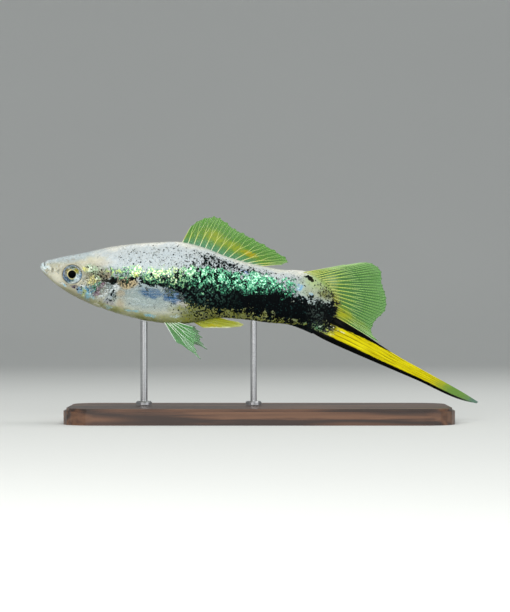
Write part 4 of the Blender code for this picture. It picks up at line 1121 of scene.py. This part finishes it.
rod_tree, w, ins, outs = geometry_tree(
    "rods_from_lines", [("Sides", "Int", 6), ("Strip", "Float", 0.003), ("Material", "Material", None)]
)
lines = w.node("GeometryNodeMeshToCurve", {"Mesh": ins.outputs["Geometry"]})
thick = w.node("GeometryNodeInputNamedAttribute", {"Name": "thickness"}, data_type="FLOAT").outputs["Attribute"]
circle = w.node("GeometryNodeCurvePrimitiveCircle", {"Resolution": ins.outputs["Sides"], "Radius": 1.0})
turn = w.node("GeometryNodeCaptureAttribute", {"Geometry": circle.outputs["Curve"]})
turn.capture_items.new("FLOAT", "Turn")
w.put(turn.inputs["Turn"], w.node("GeometryNodeSplineParameter").outputs["Factor"])
swept = w.node(
    "GeometryNodeCurveToMesh",
    {"Curve": lines.outputs[0], "Profile Curve": turn.outputs["Geometry"], "Fill Caps": True, "Scale": thick},
)
spot = w.node("GeometryNodeInputNamedAttribute", {"Name": "spot"}, data_type="FLOAT_VECTOR").outputs["Attribute"]
sideways = w.node("ShaderNodeCombineXYZ", {0: w.times(w.less(turn.outputs["Turn"], 0.5), ins.outputs["Strip"])})
strip = w.node("ShaderNodeVectorMath", {0: spot, 1: sideways.outputs[0]}, operation="ADD").outputs[0]
dressed = swept.outputs[0]
for name, value in (("OFBake", strip), ("Web", spot)):
    stored = w.node(
        "GeometryNodeStoreNamedAttribute", {"Geometry": dressed, "Name": name, "Value": value},
        data_type="FLOAT2", domain="CORNER",
    )
    dressed = stored.outputs[0]
real = w.node("GeometryNodeRealizeInstances", {0: dressed})
smooth = w.node("GeometryNodeSetShadeSmooth", {0: real.outputs[0]})
coated = w.node("GeometryNodeSetMaterial", {"Geometry": smooth.outputs[0], "Material": ins.outputs["Material"]})
w.put(outs.inputs[0], coated.outputs[0])


def run_tree(obj, tree, values):
    """Runs a node tree on an object and keeps the result as its plain mesh."""
    modifier = obj.modifiers.new(tree.name, "NODES")
    modifier.node_group = tree
    for item in tree.interface.items_tree:
        if item.item_type == "SOCKET" and item.in_out == "INPUT" and item.name in values:
            modifier[item.identifier] = values[item.name]
    bpy.context.view_layer.update()
    graph = bpy.context.evaluated_depsgraph_get()
    result = bpy.data.meshes.new_from_object(obj.evaluated_get(graph))
    obj.modifiers.clear()
    obj.data = result
    return obj


def rods(name, lines, material, replaced=()):
    """Round rods along lines. Each line is (points in mm, radii in mm, places on the bake map)."""
    corners, edges, thickness, spots = [], [], [], []
    for line, radii, marks in lines:
        first = len(corners)
        corners += place(*line.T).tolist()
        edges += [(first + i, first + i + 1) for i in range(len(line) - 1)]
        thickness += (np.asarray(radii) * MM).tolist()
        spots += marks.tolist()
    mesh = bpy.data.meshes.new(name)
    mesh.from_pydata(corners, edges, [])
    mesh.attributes.new("thickness", "FLOAT", "POINT").data.foreach_set("value", thickness)
    spots = np.pad(np.array(spots), ((0, 0), (0, 1))).astype(np.float32)
    mesh.attributes.new("spot", "FLOAT_VECTOR", "POINT").data.foreach_set("vector", spots.reshape(-1))
    obj = bpy.data.objects.new(name, mesh)
    bpy.context.scene.collection.objects.link(obj)
    run_tree(obj, rod_tree, {"Sides": 6, "Strip": 0.003, "Material": material})
    obj.data.name = name
    if replaced:
        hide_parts(*replaced)
    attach(obj, "root")
    print(name, "has", len(obj.data.polygons), "faces")
    return obj


FORK_REACH = (0.25, 0.125)  # how far each fork parts, in gaps between rays, so that all tips stand evenly


def forking_rays(form, rays, seed, forks=(0.42, 0.7), length_mm=8.0, root=0.16, tip=0.08, spread=1.0):
    """Lines for every ray: a trunk that forks in two, and each of those in two again."""
    rng = np.random.default_rng(seed)
    gap = 1 / (rays - 1)
    lines = []
    beads = max(int(length_mm / 0.28), 12)
    for k in range(rays):
        first, second = forks[0] + rng.uniform(-0.06, 0.06), forks[1] + rng.uniform(-0.06, 0.06)
        stretches = [((0, 0), -0.02, first, 1.0)]
        for a in (-FORK_REACH[0], FORK_REACH[0]):
            stretches.append(((0, a), first - 0.02, second, 0.8))
            for b in (-FORK_REACH[1], FORK_REACH[1]):
                stretches.append(((a, a + b), second - 0.02, 1.0, 0.62))
        if k in (0, rays - 1):
            stretches = [((0, 0), -0.02, 0.97, 1.0)]
        for (start, end), low, high, weight in stretches:
            count = max(int(beads * (high - low)), 5)
            t = np.linspace(0, 1, count)
            v = low + (high - low) * t
            u = np.clip((k + (start + (end - start) * t**0.8) * spread) * gap, 0, 1)
            bead = 1 + 0.13 * np.where(np.arange(count) % 2, 1, -1)
            radii = (root + (tip - root) * np.clip(v, 0, 1) ** 0.8) * weight * bead
            marks = np.stack([0.02 + 0.96 * u, 0.02 + 0.96 * np.clip(v, 0, 1)], axis=-1)
            lines.append((form(u, np.clip(v, -0.02, 1) * 0.995), radii, marks))
    return lines


print("rod tree ready")

# %% [markdown]
# ### Web and ray finishes
#
# The web lets light through, so its alpha is well under one. It is greener and denser near the root
# and between the rays it has a fine grain. The rays are paler and more solid, yellow near the root on
# some fins. Both read the Web or object position, so the colour bands run across rays and web alike.


# %% Fin materials
def fin_finish(name, tint, bands, alpha, spots=(), skin_reach=0.0):
    """bands: (v, colour) from root to tip; spots: (colour, middle, reach, turn, strength, alpha gain).
    On the tail the skin's own pigment runs out over the fin, on rays only where it is dark."""
    material, w, shader = new_material(name)
    position = w.node("ShaderNodeTexCoord").outputs["Object"]
    marks = w.node("ShaderNodeGroup", {0: position}, node_tree=markings) if skin_reach else None
    here = w.fish(position)
    bent = w.wander(here, 1.0, 0.7)
    web = w.node("ShaderNodeUVMap", uv_map="Web").outputs[0]
    v = w.node("ShaderNodeSeparateXYZ", {0: web}).outputs["Y"]
    streaks = w.less(w.noise(w.stretch(web, (60, 6, 0)), 1.0, 2.0), 0.5)
    colour = w.ramp(w.add(v, w.times(w.less(w.noise(here, 1.4), 0.5), 0.14)), [(stop, paint(c)) for stop, c in bands])
    colour = w.mix(w.times(w.noise(here, 0.5, 3.0), 0.35), colour, paint(tint))
    see = w.add(alpha, w.times(w.less(w.noise(here, 0.6, 2.0), 0.5), 0.2), w.times(streaks, 0.3))
    for code, middle, reach, turn, strength, gain in spots:
        mask = w.times(w.patch(bent, middle, reach, turn, 0.8), strength, w.step(streaks, -0.2, 0.1, 0.5, 1.0))
        colour = w.mix(mask, colour, paint(code))
        see = w.add(see, w.times(mask, gain))
    if skin_reach:
        spill = w.times(marks.outputs["Flesh"], w.step(skin_reach, 0.0, 1.0, marks.outputs["Dark"], 1.0))
        colour = w.mix(spill, colour, marks.outputs["Colour"])
        see = w.math("MAXIMUM", see, spill)
    w.put(shader.inputs["Base Color"], colour)
    w.put(shader.inputs["Alpha"], w.math("MINIMUM", see, 1.0, clamp=True))
    fine = w.noise(here, 0.25, 2.0)
    bump = w.node("ShaderNodeBump", {"Height": fine, "Strength": 0.3, "Distance": 0.00005})
    w.put(shader.inputs["Normal"], bump.outputs[0])
    w.put(shader.inputs["Roughness"], w.add(0.34, w.times(fine, 0.2)))
    shader.inputs["Specular IOR Level"].default_value = 0.2
    shader.inputs["Coat Weight"].default_value = 0.08
    return material


print("fin finishes ready")

# %% [markdown]
# ### The dorsal fin
#
# The male's dorsal fin is tall at the front and trails back over the tail stalk. It is blue green at
# the root, has an olive yellow band through its middle, and its outer part is sage green.

# %% Make the dorsal fin
DORSAL_ROOT = (35.5, 54.2)
DORSAL_RAYS = 14
DORSAL_MARGIN = ((37.9, 10.1), (40.0, 11.6), (43.4, 12.5), (45.6, 11.8), (48.4, 9.6), (51.4, 8.0), (55.2, 5.9),
                 (59.0, 3.8), (62.2, 1.4), (60.6, 0.35))
ROOT_SINK = 0.35


def along_back(start, end):
    def at(t):
        here = start + (end - start) * t
        return np.stack([here, back(here) - ROOT_SINK], axis=-1)

    return at


def along_belly(start, end, side=0.0):
    def at(t):
        here = start + (end - start) * t
        return np.stack([here, underside(here, side) + ROOT_SINK], axis=-1)

    return at


DORSAL_SPOTS = (
    ("9fa80a", (43.8, 7.2), (3.6, 1.7), 30, 0.75, 0.1),
    ("9fa80a", (48.6, 4.8), (3.4, 1.3), 28, 0.75, 0.12),
    ("b39e08", (52.4, 3.0), (2.4, 0.8), 22, 0.9, 0.3),
)
dorsal_form = fin_form(
    along_back(*DORSAL_ROOT), path_through(DORSAL_MARGIN, by_length=False),
    side=lambda here, u, v: 0.5 * np.sin(2.2 * math.pi * u) * v, bend=0.05, notch=0.06, rays=DORSAL_RAYS,
)
dorsal_web = fin_finish(
    "dorsal_web", "44880c", [(0.0, "4a9074"), (0.16, "4f8f58"), (0.4, "5c8f08"), (0.75, "4c8a10"), (1.0, "5c9c30")],
    0.66, DORSAL_SPOTS,
)
dorsal_rays = fin_finish(
    "dorsal_rays", "c8d49a", [(0.0, "e4ece2"), (0.3, "d2cf66"), (0.6, "bccb80"), (1.0, "a2c08a")], 1.0
)
sheet("dorsal_web", dorsal_form, (DORSAL_RAYS - 1) * 12 + 1, 30, lambda u, v: WEB_THICK / 2 * (1 - 0.5 * v),
      dorsal_web, ["dorsal_fin"])
rods("dorsal_rays", forking_rays(dorsal_form, DORSAL_RAYS, RANDOM_SEED, length_mm=12, root=0.14, tip=0.085), dorsal_rays)

# %% [markdown]
# ### The tail fan
#
# Above the sword the tail is a fan of forking rays, yellow near the root. Black and khaki pigment
# spills from the stalk on to its base, and a yellow patch sits just above the sword.

# %% Make the tail fan
FAN_RAYS = 19
FAN_MARGIN = ((76.5, 0.35), (83.4, 0.5), (85.2, -0.9), (85.6, -4.3), (86.6, -7.6), (86.5, -10.9), (83.6, -14.2),
              (82.9, -16.4), (85.0, -19.25))
SWORD_SHARE = 0.66


def on_tail_edge(start, end, sink=ROOT_SINK):
    """Part of the flesh's rear edge, moved in under the skin."""

    def at(t):
        here = start + (end - start) * t
        ahead = tail_edge(np.minimum(here + 0.01, 1)) - tail_edge(np.maximum(here - 0.01, 0))
        inward = np.stack([ahead[..., 1], -ahead[..., 0]], axis=-1) / np.linalg.norm(ahead, axis=-1, keepdims=True)
        return tail_edge(here) + inward * sink

    return at


FAN_SPOTS = (
    ("9ca00e", (75.2, -11.9), (3.8, 1.8), 26, 1.0, 0.35),
    ("98a93c", (80.0, -14.6), (3.4, 1.2), 38, 0.5, 0.1),
    ("a9bf8c", (73.0, -3.4), (2.2, 1.8), 25, 0.6, 0.2),
)
fan_form = fin_form(
    on_tail_edge(0.015, SWORD_SHARE + 0.01), path_through(FAN_MARGIN), notch=0.022, rays=FAN_RAYS,
    side=lambda here, u, v: 0.9 * v * v * np.sin(math.pi * (0.15 + 0.7 * u)),
)
fan_web = fin_finish(
    "fan_web", "33760e", [(0.0, "5f8420"), (0.15, "41801c"), (0.5, "33781a"), (0.85, "3f861e"), (1.0, "52943a")],
    0.66, FAN_SPOTS, 1.0,
)
fan_rays = fin_finish(
    "fan_rays", "bccc8a", [(0.0, "b8bd70"), (0.22, "bcc452"), (0.5, "acc880"), (1.0, "98c486")], 1.0, FAN_SPOTS[:1], 0.01
)
sheet("fan_web", fan_form, (FAN_RAYS - 1) * 12 + 1, 34, lambda u, v: WEB_THICK / 2 * (1.3 - 0.8 * v),
      fan_web, ["tail_fan"])
rods("fan_rays", forking_rays(fan_form, FAN_RAYS, RANDOM_SEED + 1, forks=(0.3, 0.6), length_mm=14, root=0.17, tip=0.1), fan_rays)

# %% [markdown]
# ### The sword
#
# The sword is the tail's lowest rays, grown out to a third of the fish's length. It is thick and
# solid, yellow with thin dark lines between the rays, and edged in black: all along below, and above
# only as far as the fan reaches. Its tip is thin, grey green and clear.

# %% Make the sword
SWORD_LOWER = ((67.9, -17.1), (70.6, -18.45), (73.6, -19.75), (80.1, -22.5), (93.5, -28.2), (106.9, -33.9), (109.2, -34.35))
SWORD_UPPER = ((74.3, -13.0), (80.0, -16.4), (90.1, -22.9), (96.8, -26.6), (106.9, -32.3), (109.6, -34.0))
SWORD_RIBS = 6
SWORD_BOW = 0.6
SWORD_ROOT_HOLD = 8
sword_low, sword_high = path_through(SWORD_LOWER), path_through(SWORD_UPPER)
sword_home = on_tail_edge(1.0, SWORD_SHARE + 0.01, 0.3)


def sword_form(u, v):
    u, v = np.broadcast_arrays(np.asarray(u, float), np.asarray(v, float))
    free = sword_low(v) + (sword_high(v) - sword_low(v)) * u[..., None]
    home = sword_home(u) - (sword_low(0.0) + (sword_high(0.0) - sword_low(0.0)) * u[..., None])
    here = free + home * ((1 - v) ** SWORD_ROOT_HOLD)[..., None]
    return np.stack([here[..., 0], SWORD_BOW * v * v, here[..., 1]], axis=-1)


def sword_half(u, v):
    rounded = np.sqrt(np.clip(1 - (2 * u - 1) ** 4, 0.02, 1))
    ribs = 0.045 * np.cos(2 * math.pi * SWORD_RIBS * u) * (1 - v)
    return (0.34 * (1 - 0.72 * v) + ribs) * rounded * (0.12 + 0.88 * rise(v, -0.01, 0.1))


sword_material, w, shader = new_material("sword_yellow")
position = w.node("ShaderNodeTexCoord").outputs["Object"]
web_map_at = w.node("ShaderNodeUVMap", uv_map="Web").outputs[0]
web_map = w.node("ShaderNodeSeparateXYZ", {0: web_map_at})
u, v = web_map.outputs["X"], web_map.outputs["Y"]
streaks = w.noise(w.stretch(web_map_at, (26, 7, 0)), 1.0, 2.0)
rough_edge = w.times(w.less(w.noise(w.stretch(web_map_at, (9, 40, 0)), 1.0, 3.0, 0.6), 0.5), 0.09)
yellow = w.mix(w.step(streaks, 0.38, 0.62), paint("c2b400"), paint("e2d80e"))
line = w.math("COSINE", w.times(w.add(u, w.times(rough_edge, 0.12)), 2 * math.pi * SWORD_RIBS))
broken = w.step(w.noise(position, 0.004), 0.4, 0.5, 0.3, 1.0)
yellow = w.mix(w.times(w.step(line, -0.78, -1.0), broken, 0.85), yellow, paint("4c4000"))
yellow = w.mix(w.step(w.add(v, rough_edge), 0.66, 0.84), yellow, paint("6c9440"))
yellow = w.mix(w.step(w.add(v, rough_edge), 0.9, 0.99), yellow, paint("587c6c"))
lower_black = w.step(w.add(u, rough_edge), w.add(0.285, w.times(v, -0.02)), w.add(0.245, w.times(v, -0.02)))
lower_black = w.times(lower_black, w.step(v, 0.985, 0.9))
upper_limit = w.add(0.67, w.times(v, 0.73))
upper_black = w.times(w.step(w.less(w.add(u, rough_edge), upper_limit), -0.01, 0.03), w.step(v, 0.42, 0.36))
dark = w.math("MAXIMUM", lower_black, upper_black)
colour = w.mix(dark, yellow, paint("020302"))
spill = w.times(w.step(w.add(v, w.times(rough_edge, 0.9)), 0.095, 0.03), w.less(1.0, dark))
marks = w.node("ShaderNodeGroup", {0: position}, node_tree=markings)
dots = w.times(w.step(w.cells(w.fish(position), 0.4), 0.45, 0.6), w.step(w.math("ABSOLUTE", w.less(u, 0.63)), 0.03, 0.012),
               w.step(v, 0.15, 0.12))
colour = w.mix(w.times(dots, 0.8), w.mix(spill, colour, marks.outputs["Colour"]), paint("e8edc8"))
w.put(shader.inputs["Base Color"], colour)
w.put(shader.inputs["Alpha"], w.step(v, 1.0, 0.72, 0.75, 1.0))
w.put(shader.inputs["Roughness"], w.add(0.34, w.times(w.less(streaks, 0.5), 0.2)))
bump = w.node("ShaderNodeBump", {"Height": streaks, "Strength": 0.35, "Distance": 0.00006})
w.put(shader.inputs["Normal"], bump.outputs[0])
w.put(shader.inputs["Coat Weight"], w.less(0.15, w.times(dark, 0.13)))
shader.inputs["Specular IOR Level"].default_value = 0.03
sheet("sword", sword_form, SWORD_RIBS * 10 + 1, 150, sword_half, sword_material, ["tail_sword"])

# %% [markdown]
# ### The paired fins and the rod fin
#
# The pectoral fins are clear fans held back along the flank. The pelvic fins hang below, and their
# outer rays are long and free. The male's anal fin is folded into a rod, gold in front and pale at its
# rim, and it lies along the belly.

# %% Make the small fins
ANAL_ROOT = (38.3, 43.6)
ANAL_MARGIN = ((40.9, -15.5), (47.4, -15.45), (50.9, -14.9), (49.9, -14.1), (47.9, -13.75))
PECTORAL_ROOT = ((19.35, -5.9), (19.5, -7.1), (19.95, -8.3))
PECTORAL_MARGIN = ((30.0, -5.5), (34.0, -6.0), (36.4, -7.4), (36.2, -9.3), (33.2, -10.8), (28.6, -11.5), (24.0, -11.0))
PELVIC_ROOT = (31.0, 33.8)
PELVIC_MARGINS = {
    "left": ((34.2, -19.0), (40.3, -23.3), (39.3, -21.2), (39.5, -18.9), (39.3, -17.0), (38.5, -15.3)),
    "right": ((35.6, -18.9), (41.8, -21.0), (41.0, -19.8), (40.6, -18.0), (40.0, -16.5), (38.9, -15.2)),
}
HANDS = {"left": -1, "right": 1}

anal_form = fin_form(along_belly(*ANAL_ROOT), path_through(ANAL_MARGIN, by_length=False), notch=0.02, rays=6)
anal_web = fin_finish(
    "anal_web", "8f9c10", [(0.0, "888e28"), (0.4, "9ca218"), (0.8, "aab030"), (1.0, "cdd390")], 0.75,
    (("aca204", (43.2, -14.85), (2.4, 0.4), 0, 0.9, 0.3), ("dfe3cc", (46.0, -15.45), (6.0, 0.22), 0, 0.8, 0.3)),
)
anal_rays = fin_finish("anal_rays", "c9c68a", [(0.0, "b7ad52"), (0.5, "cfc15a"), (1.0, "dde0bc")], 0.95)
sheet("anal_web", anal_form, 41, 24, lambda u, v: 0.2 + 0.06 * np.cos(10 * math.pi * u), anal_web, ["anal_fin"])
rods("anal_rays", forking_rays(anal_form, 6, RANDOM_SEED + 2, forks=(0.8, 0.9), length_mm=9, root=0.2, tip=0.09,
                               spread=0.15), anal_rays)

clear_web = fin_finish("clear_web", "b9c8c4", [(0.0, "c6c4b0"), (0.4, "b9c8c8"), (1.0, "c4d2d0")], 0.03)
clear_rays = fin_finish("clear_rays", "c6d2d2", [(0.0, "cabfa0"), (0.4, "c2d0d2"), (1.0, "c8d4d4")], 0.12)
mint_web = fin_finish("mint_web", "559c4c", [(0.0, "70a464"), (0.4, "4f9646"), (1.0, "60a45e")], 0.55)
mint_rays = fin_finish("mint_rays", "dfeadf", [(0.0, "dfe6d6"), (0.5, "dcebdf"), (1.0, "c4dfcb")], 0.92)
for name, hand in HANDS.items():

    def beside_flank(here, u, v, hand=hand):
        level = here[..., 1] + (-7.5 - here[..., 1]) * 0.5 * v
        inner = np.maximum(flank(here[..., 0], here[..., 1]), flank(here[..., 0], level) * v)
        return hand * (inner - 0.1 + 0.55 * rise(v, 0, 0.15) + (0.5 + 1.2 * v) * v)

    def below_belly(here, u, v, hand=hand):
        return hand * (1.0 + 2.6 * v * (1 - 0.35 * u))

    form = fin_form(path_through(PECTORAL_ROOT), path_through(PECTORAL_MARGIN), beside_flank, notch=0.03, rays=12)
    sheet("pectoral_web_" + name, form, 89, 26, lambda u, v: WEB_THICK / 2 * (1.2 - 0.7 * v), clear_web,
          ["pectoral_fin_" + name])
    lines = forking_rays(form, 12, RANDOM_SEED + 3, length_mm=14, root=0.1, tip=0.05)
    rods("pectoral_rays_" + name, lines, clear_rays)

    form = fin_form(along_belly(*PELVIC_ROOT, side=1.0), path_through(PELVIC_MARGINS[name], by_length=False),
                    below_belly, notch=0.16, rays=6)
    sheet("pelvic_web_" + name, form, 61, 26, lambda u, v: WEB_THICK / 2 * (1.2 - 0.6 * v), mint_web,
          ["pelvic_fin_" + name])
    rods("pelvic_rays_" + name, forking_rays(form, 6, RANDOM_SEED + 4, length_mm=8), mint_rays)

# %% [markdown]
# ## The eyes
#
# The eye is large, round and almost flat. A black pupil sits in a thin gold ring. The iris around it
# is silver, dark teal on top, olive at the upper left and right and blue below. The ball is turned
# from one profile, and the colours depend on the distance and the bearing from its middle.

# %% Make the eyes
EYE_PROUD = 0.72
EYE_SIDES, EYE_STEPS = 72, 26
PUPIL, GOLD_RING, IRIS_MIDDLE, IRIS_EDGE = 1.02, 1.24, 1.96, 2.36

eye_material, w, shader = new_material("eye_iris")
position = w.node("ShaderNodeTexCoord").outputs["Object"]
middle = place(EYE_PLACE[0], 0.0, EYE_PLACE[1])
centred = w.node("ShaderNodeMapping", {"Vector": position}, vector_type="TEXTURE")
centred.inputs["Location"].default_value = tuple(middle)
centred.inputs["Scale"].default_value = (MM, MM, MM)
loose = w.wander(w.wander(centred.outputs[0], 0.9, 0.35), 0.3, 0.12)
near, strayed = (w.node("ShaderNodeSeparateXYZ", {0: where}) for where in (centred.outputs[0], loose))
x, z = near.outputs["X"], near.outputs["Z"]
far = w.math("SQRT", w.add(w.times(x, x), w.times(z, z)))
x, z = strayed.outputs["X"], strayed.outputs["Z"]
loose_far = w.math("SQRT", w.add(w.times(x, x), w.times(z, z)))
turn = w.math("FRACT", w.add(w.math("DIVIDE", w.math("ARCTAN2", z, x), 2 * math.pi), 1.0))
# both rings are read from the tail side, over the top, to the snout and back underneath
# On the lower tail side, about 0.83 to 0.9, the near-white stops of both rings are painted glints.
inner_ring = w.ramp(turn, [
    (0.0, paint("a9b0a0")), (0.06, paint("8f8c34")), (0.15, paint("8f8618")), (0.2, paint("5c6a4c")),
    (0.26, paint("38504c")), (0.34, paint("665e2a")), (0.42, paint("70683a")), (0.5, paint("8c9088")),
    (0.58, paint("3c5874")), (0.66, paint("30506e")), (0.75, paint("40605e")), (0.83, paint("b4c8cc")),
    (0.9, paint("dcebf0")), (0.96, paint("a9bcc4")),
])
outer_ring = w.ramp(turn, [
    (0.0, paint("6c94bc")), (0.08, paint("a8b0a8")), (0.15, paint("aeb8bc")), (0.25, paint("7c909c")),
    (0.36, paint("8c9ca6")), (0.44, paint("8494ac")), (0.5, paint("6c80a2")), (0.6, paint("587494")),
    (0.68, paint("8ca8b2")), (0.75, paint("d8e0da")), (0.84, paint("bfd0d8")), (0.9, paint("dcebf0")),
    (0.96, paint("7ca4cc")),
])
blotches = w.noise(centred.outputs[0], 0.42, 3.0, 0.6)
outer_share = w.step(loose_far, IRIS_MIDDLE - 0.2, IRIS_MIDDLE + 0.15)
iris = w.mix(outer_share, inner_ring, outer_ring)
iris = w.mix(w.times(w.step(blotches, 0.5, 0.68, 0.0, 0.6), w.add(0.35, w.times(outer_share, 0.65))), iris, paint("e0e8e6"))
iris = w.mix(w.step(blotches, 0.52, 0.34, 0.0, 0.75), iris, paint("232f2a"))
lit = w.step(w.add(w.times(near.outputs["X"], -0.8), w.times(near.outputs["Z"], -0.5)), -1.1, 0.8, 0.3, 1.0)
lit = w.times(lit, w.step(w.noise(centred.outputs[0], 0.5, 2.0), 0.35, 0.6, 0.55, 1.0))
iris = w.mix(w.times(w.step(loose_far, GOLD_RING + 0.08, GOLD_RING - 0.1), lit), iris, paint("d0c684"))
iris = w.mix(w.times(w.step(loose_far, IRIS_EDGE - 0.2, IRIS_EDGE + 0.1), 0.7), iris, paint("4c4c36"))
iris = w.mix(w.step(far, PUPIL + 0.05, PUPIL - 0.05), iris, paint("010202"))
w.put(shader.inputs["Base Color"], iris)
w.put(shader.inputs["Metallic"], w.times(w.step(far, PUPIL, PUPIL + 0.1), 0.25))
shader.inputs["Roughness"].default_value = 0.35
w.put(shader.inputs["Coat Weight"], w.step(far, PUPIL, PUPIL + 0.1, 0.0, 0.35))
shader.inputs["Coat Roughness"].default_value = 0.08
shader.inputs["Specular IOR Level"].default_value = 0.02
bump = w.node("ShaderNodeBump", {"Height": blotches, "Strength": 0.2, "Distance": 0.00005})
w.put(shader.inputs["Normal"], bump.outputs[0])


def turned(name, profile, hand, material, nodes=()):
    """A piece turned about the eye's own axis from (radius, side) points, closed at both ends."""
    angles = 2 * math.pi * np.arange(EYE_SIDES) / EYE_SIDES
    corners, faces, maps = [], [], []
    for r, y in profile:
        corners += place(EYE_PLACE[0] + r * np.cos(angles), hand * y, EYE_PLACE[1] + r * np.sin(angles)).tolist()
        maps += (0.5 + 0.47 * r / 3.2 * np.stack([np.cos(angles), np.sin(angles)], axis=-1)).tolist()
    count = len(profile)
    for i in range(count):
        for k in range(EYE_SIDES):
            n, j = (k + 1) % EYE_SIDES, (i + 1) % count
            faces.append((i * EYE_SIDES + k, i * EYE_SIDES + n, j * EYE_SIDES + n, j * EYE_SIDES + k))
    mesh = bpy.data.meshes.new(name)
    mesh.from_pydata(corners, [], faces)
    mesh.shade_smooth()
    add_map(mesh, "OFBake", np.array(maps)[loop_vertices(mesh)])
    mesh.materials.append(material)
    obj = bpy.data.objects.new(name, mesh)
    bpy.context.scene.collection.objects.link(obj)
    outward(obj)
    if nodes:
        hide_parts(*nodes)
    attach(obj, "root")
    return obj


eye_side = float(flank(*map(np.array, EYE_PLACE)))
dome = []
for i in range(EYE_STEPS):
    r = EYE_RADIUS * (i / (EYE_STEPS - 1)) ** 0.9
    dome.append((max(r, 0.002), eye_side + EYE_PROUD - 0.62 * (r / EYE_RADIUS) ** 2.2 - 0.25 * (r / EYE_RADIUS) ** 8))
back_of_eye = [(EYE_RADIUS * 0.96, eye_side - 0.6), (EYE_RADIUS * 0.7, eye_side - 1.1), (0.002, eye_side - 1.3)]
rim_material, w, shader = new_material("eye_rim")
position = w.node("ShaderNodeTexCoord").outputs["Object"]
soft = w.noise(position, 0.0006, 3.0)
w.put(shader.inputs["Base Color"], w.mix(soft, paint("948c6c"), paint("c9c3a8")))
w.put(shader.inputs["Roughness"], w.add(0.3, w.times(soft, 0.2)))
shader.inputs["Coat Weight"].default_value = 0.5
ring = [
    (EYE_RADIUS + 0.06 + 0.12 * math.cos(a), eye_side - 0.02 + 0.14 * math.sin(a))
    for a in np.linspace(0, 2 * math.pi, 14, endpoint=False)
]
for name, hand in HANDS.items():
    turned("eyeball_" + name, dome + back_of_eye, hand, eye_material, ["eye_" + name])
    turned("eye_rim_" + name, ring, hand, rim_material)
print("eyes set %.2f mm from the middle" % eye_side)

# %% [markdown]
# ## The stand
#
# The fish swims, so a museum would hold it on rods. The base and rods are right as solids, and only
# need a finish: a small walnut board with fine grain, and brushed steel.

# %% Finish the stand
wood, w, shader = new_material("walnut")
position = w.node("ShaderNodeTexCoord").outputs["Object"]
stretched = w.node("ShaderNodeMapping", {"Vector": position})
stretched.inputs["Scale"].default_value = (40, 900, 900)
stretched.inputs["Rotation"].default_value = (0, 0, math.radians(2))
fibre = w.noise(stretched.outputs[0], 1.0, 6.0, 0.6)
broad = w.node("ShaderNodeMapping", {"Vector": position})
broad.inputs["Scale"].default_value = (9, 130, 130)
figure = w.noise(broad.outputs[0], 1.0, 3.0)
wave = w.math("SINE", w.times(w.add(figure, w.times(fibre, 0.12)), 34.0))
tone = w.add(w.times(wave, 0.22), w.times(fibre, 0.7), 0.1)
w.put(shader.inputs["Base Color"], w.ramp(tone, [(0.25, paint("33221a")), (0.5, paint("573a29")), (0.8, paint("7a553c"))]))
w.put(shader.inputs["Roughness"], w.add(0.34, w.times(fibre, 0.22)))
bump = w.node("ShaderNodeBump", {"Height": fibre, "Strength": 0.25, "Distance": 0.00006})
w.put(shader.inputs["Normal"], bump.outputs[0])
shader.inputs["Coat Weight"].default_value = 0.25
shader.inputs["Coat Roughness"].default_value = 0.25

steel, w, shader = new_material("brushed_steel")
position = w.node("ShaderNodeTexCoord").outputs["Object"]
brushed = w.node("ShaderNodeMapping", {"Vector": position})
brushed.inputs["Scale"].default_value = (900, 900, 9000)
lines = w.noise(brushed.outputs[0], 1.0, 2.0)
w.put(shader.inputs["Base Color"], w.mix(lines, paint("a9aaac"), paint("c9cacc")))
shader.inputs["Metallic"].default_value = 1.0
w.put(shader.inputs["Roughness"], w.add(0.24, w.times(lines, 0.14)))
for node, material in (("stand_base", wood), ("stand_rod_front", steel), ("stand_rod_rear", steel)):
    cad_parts[node].material_slots[0].material = material
    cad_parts[node].data.materials[0] = material
print("stand finished")
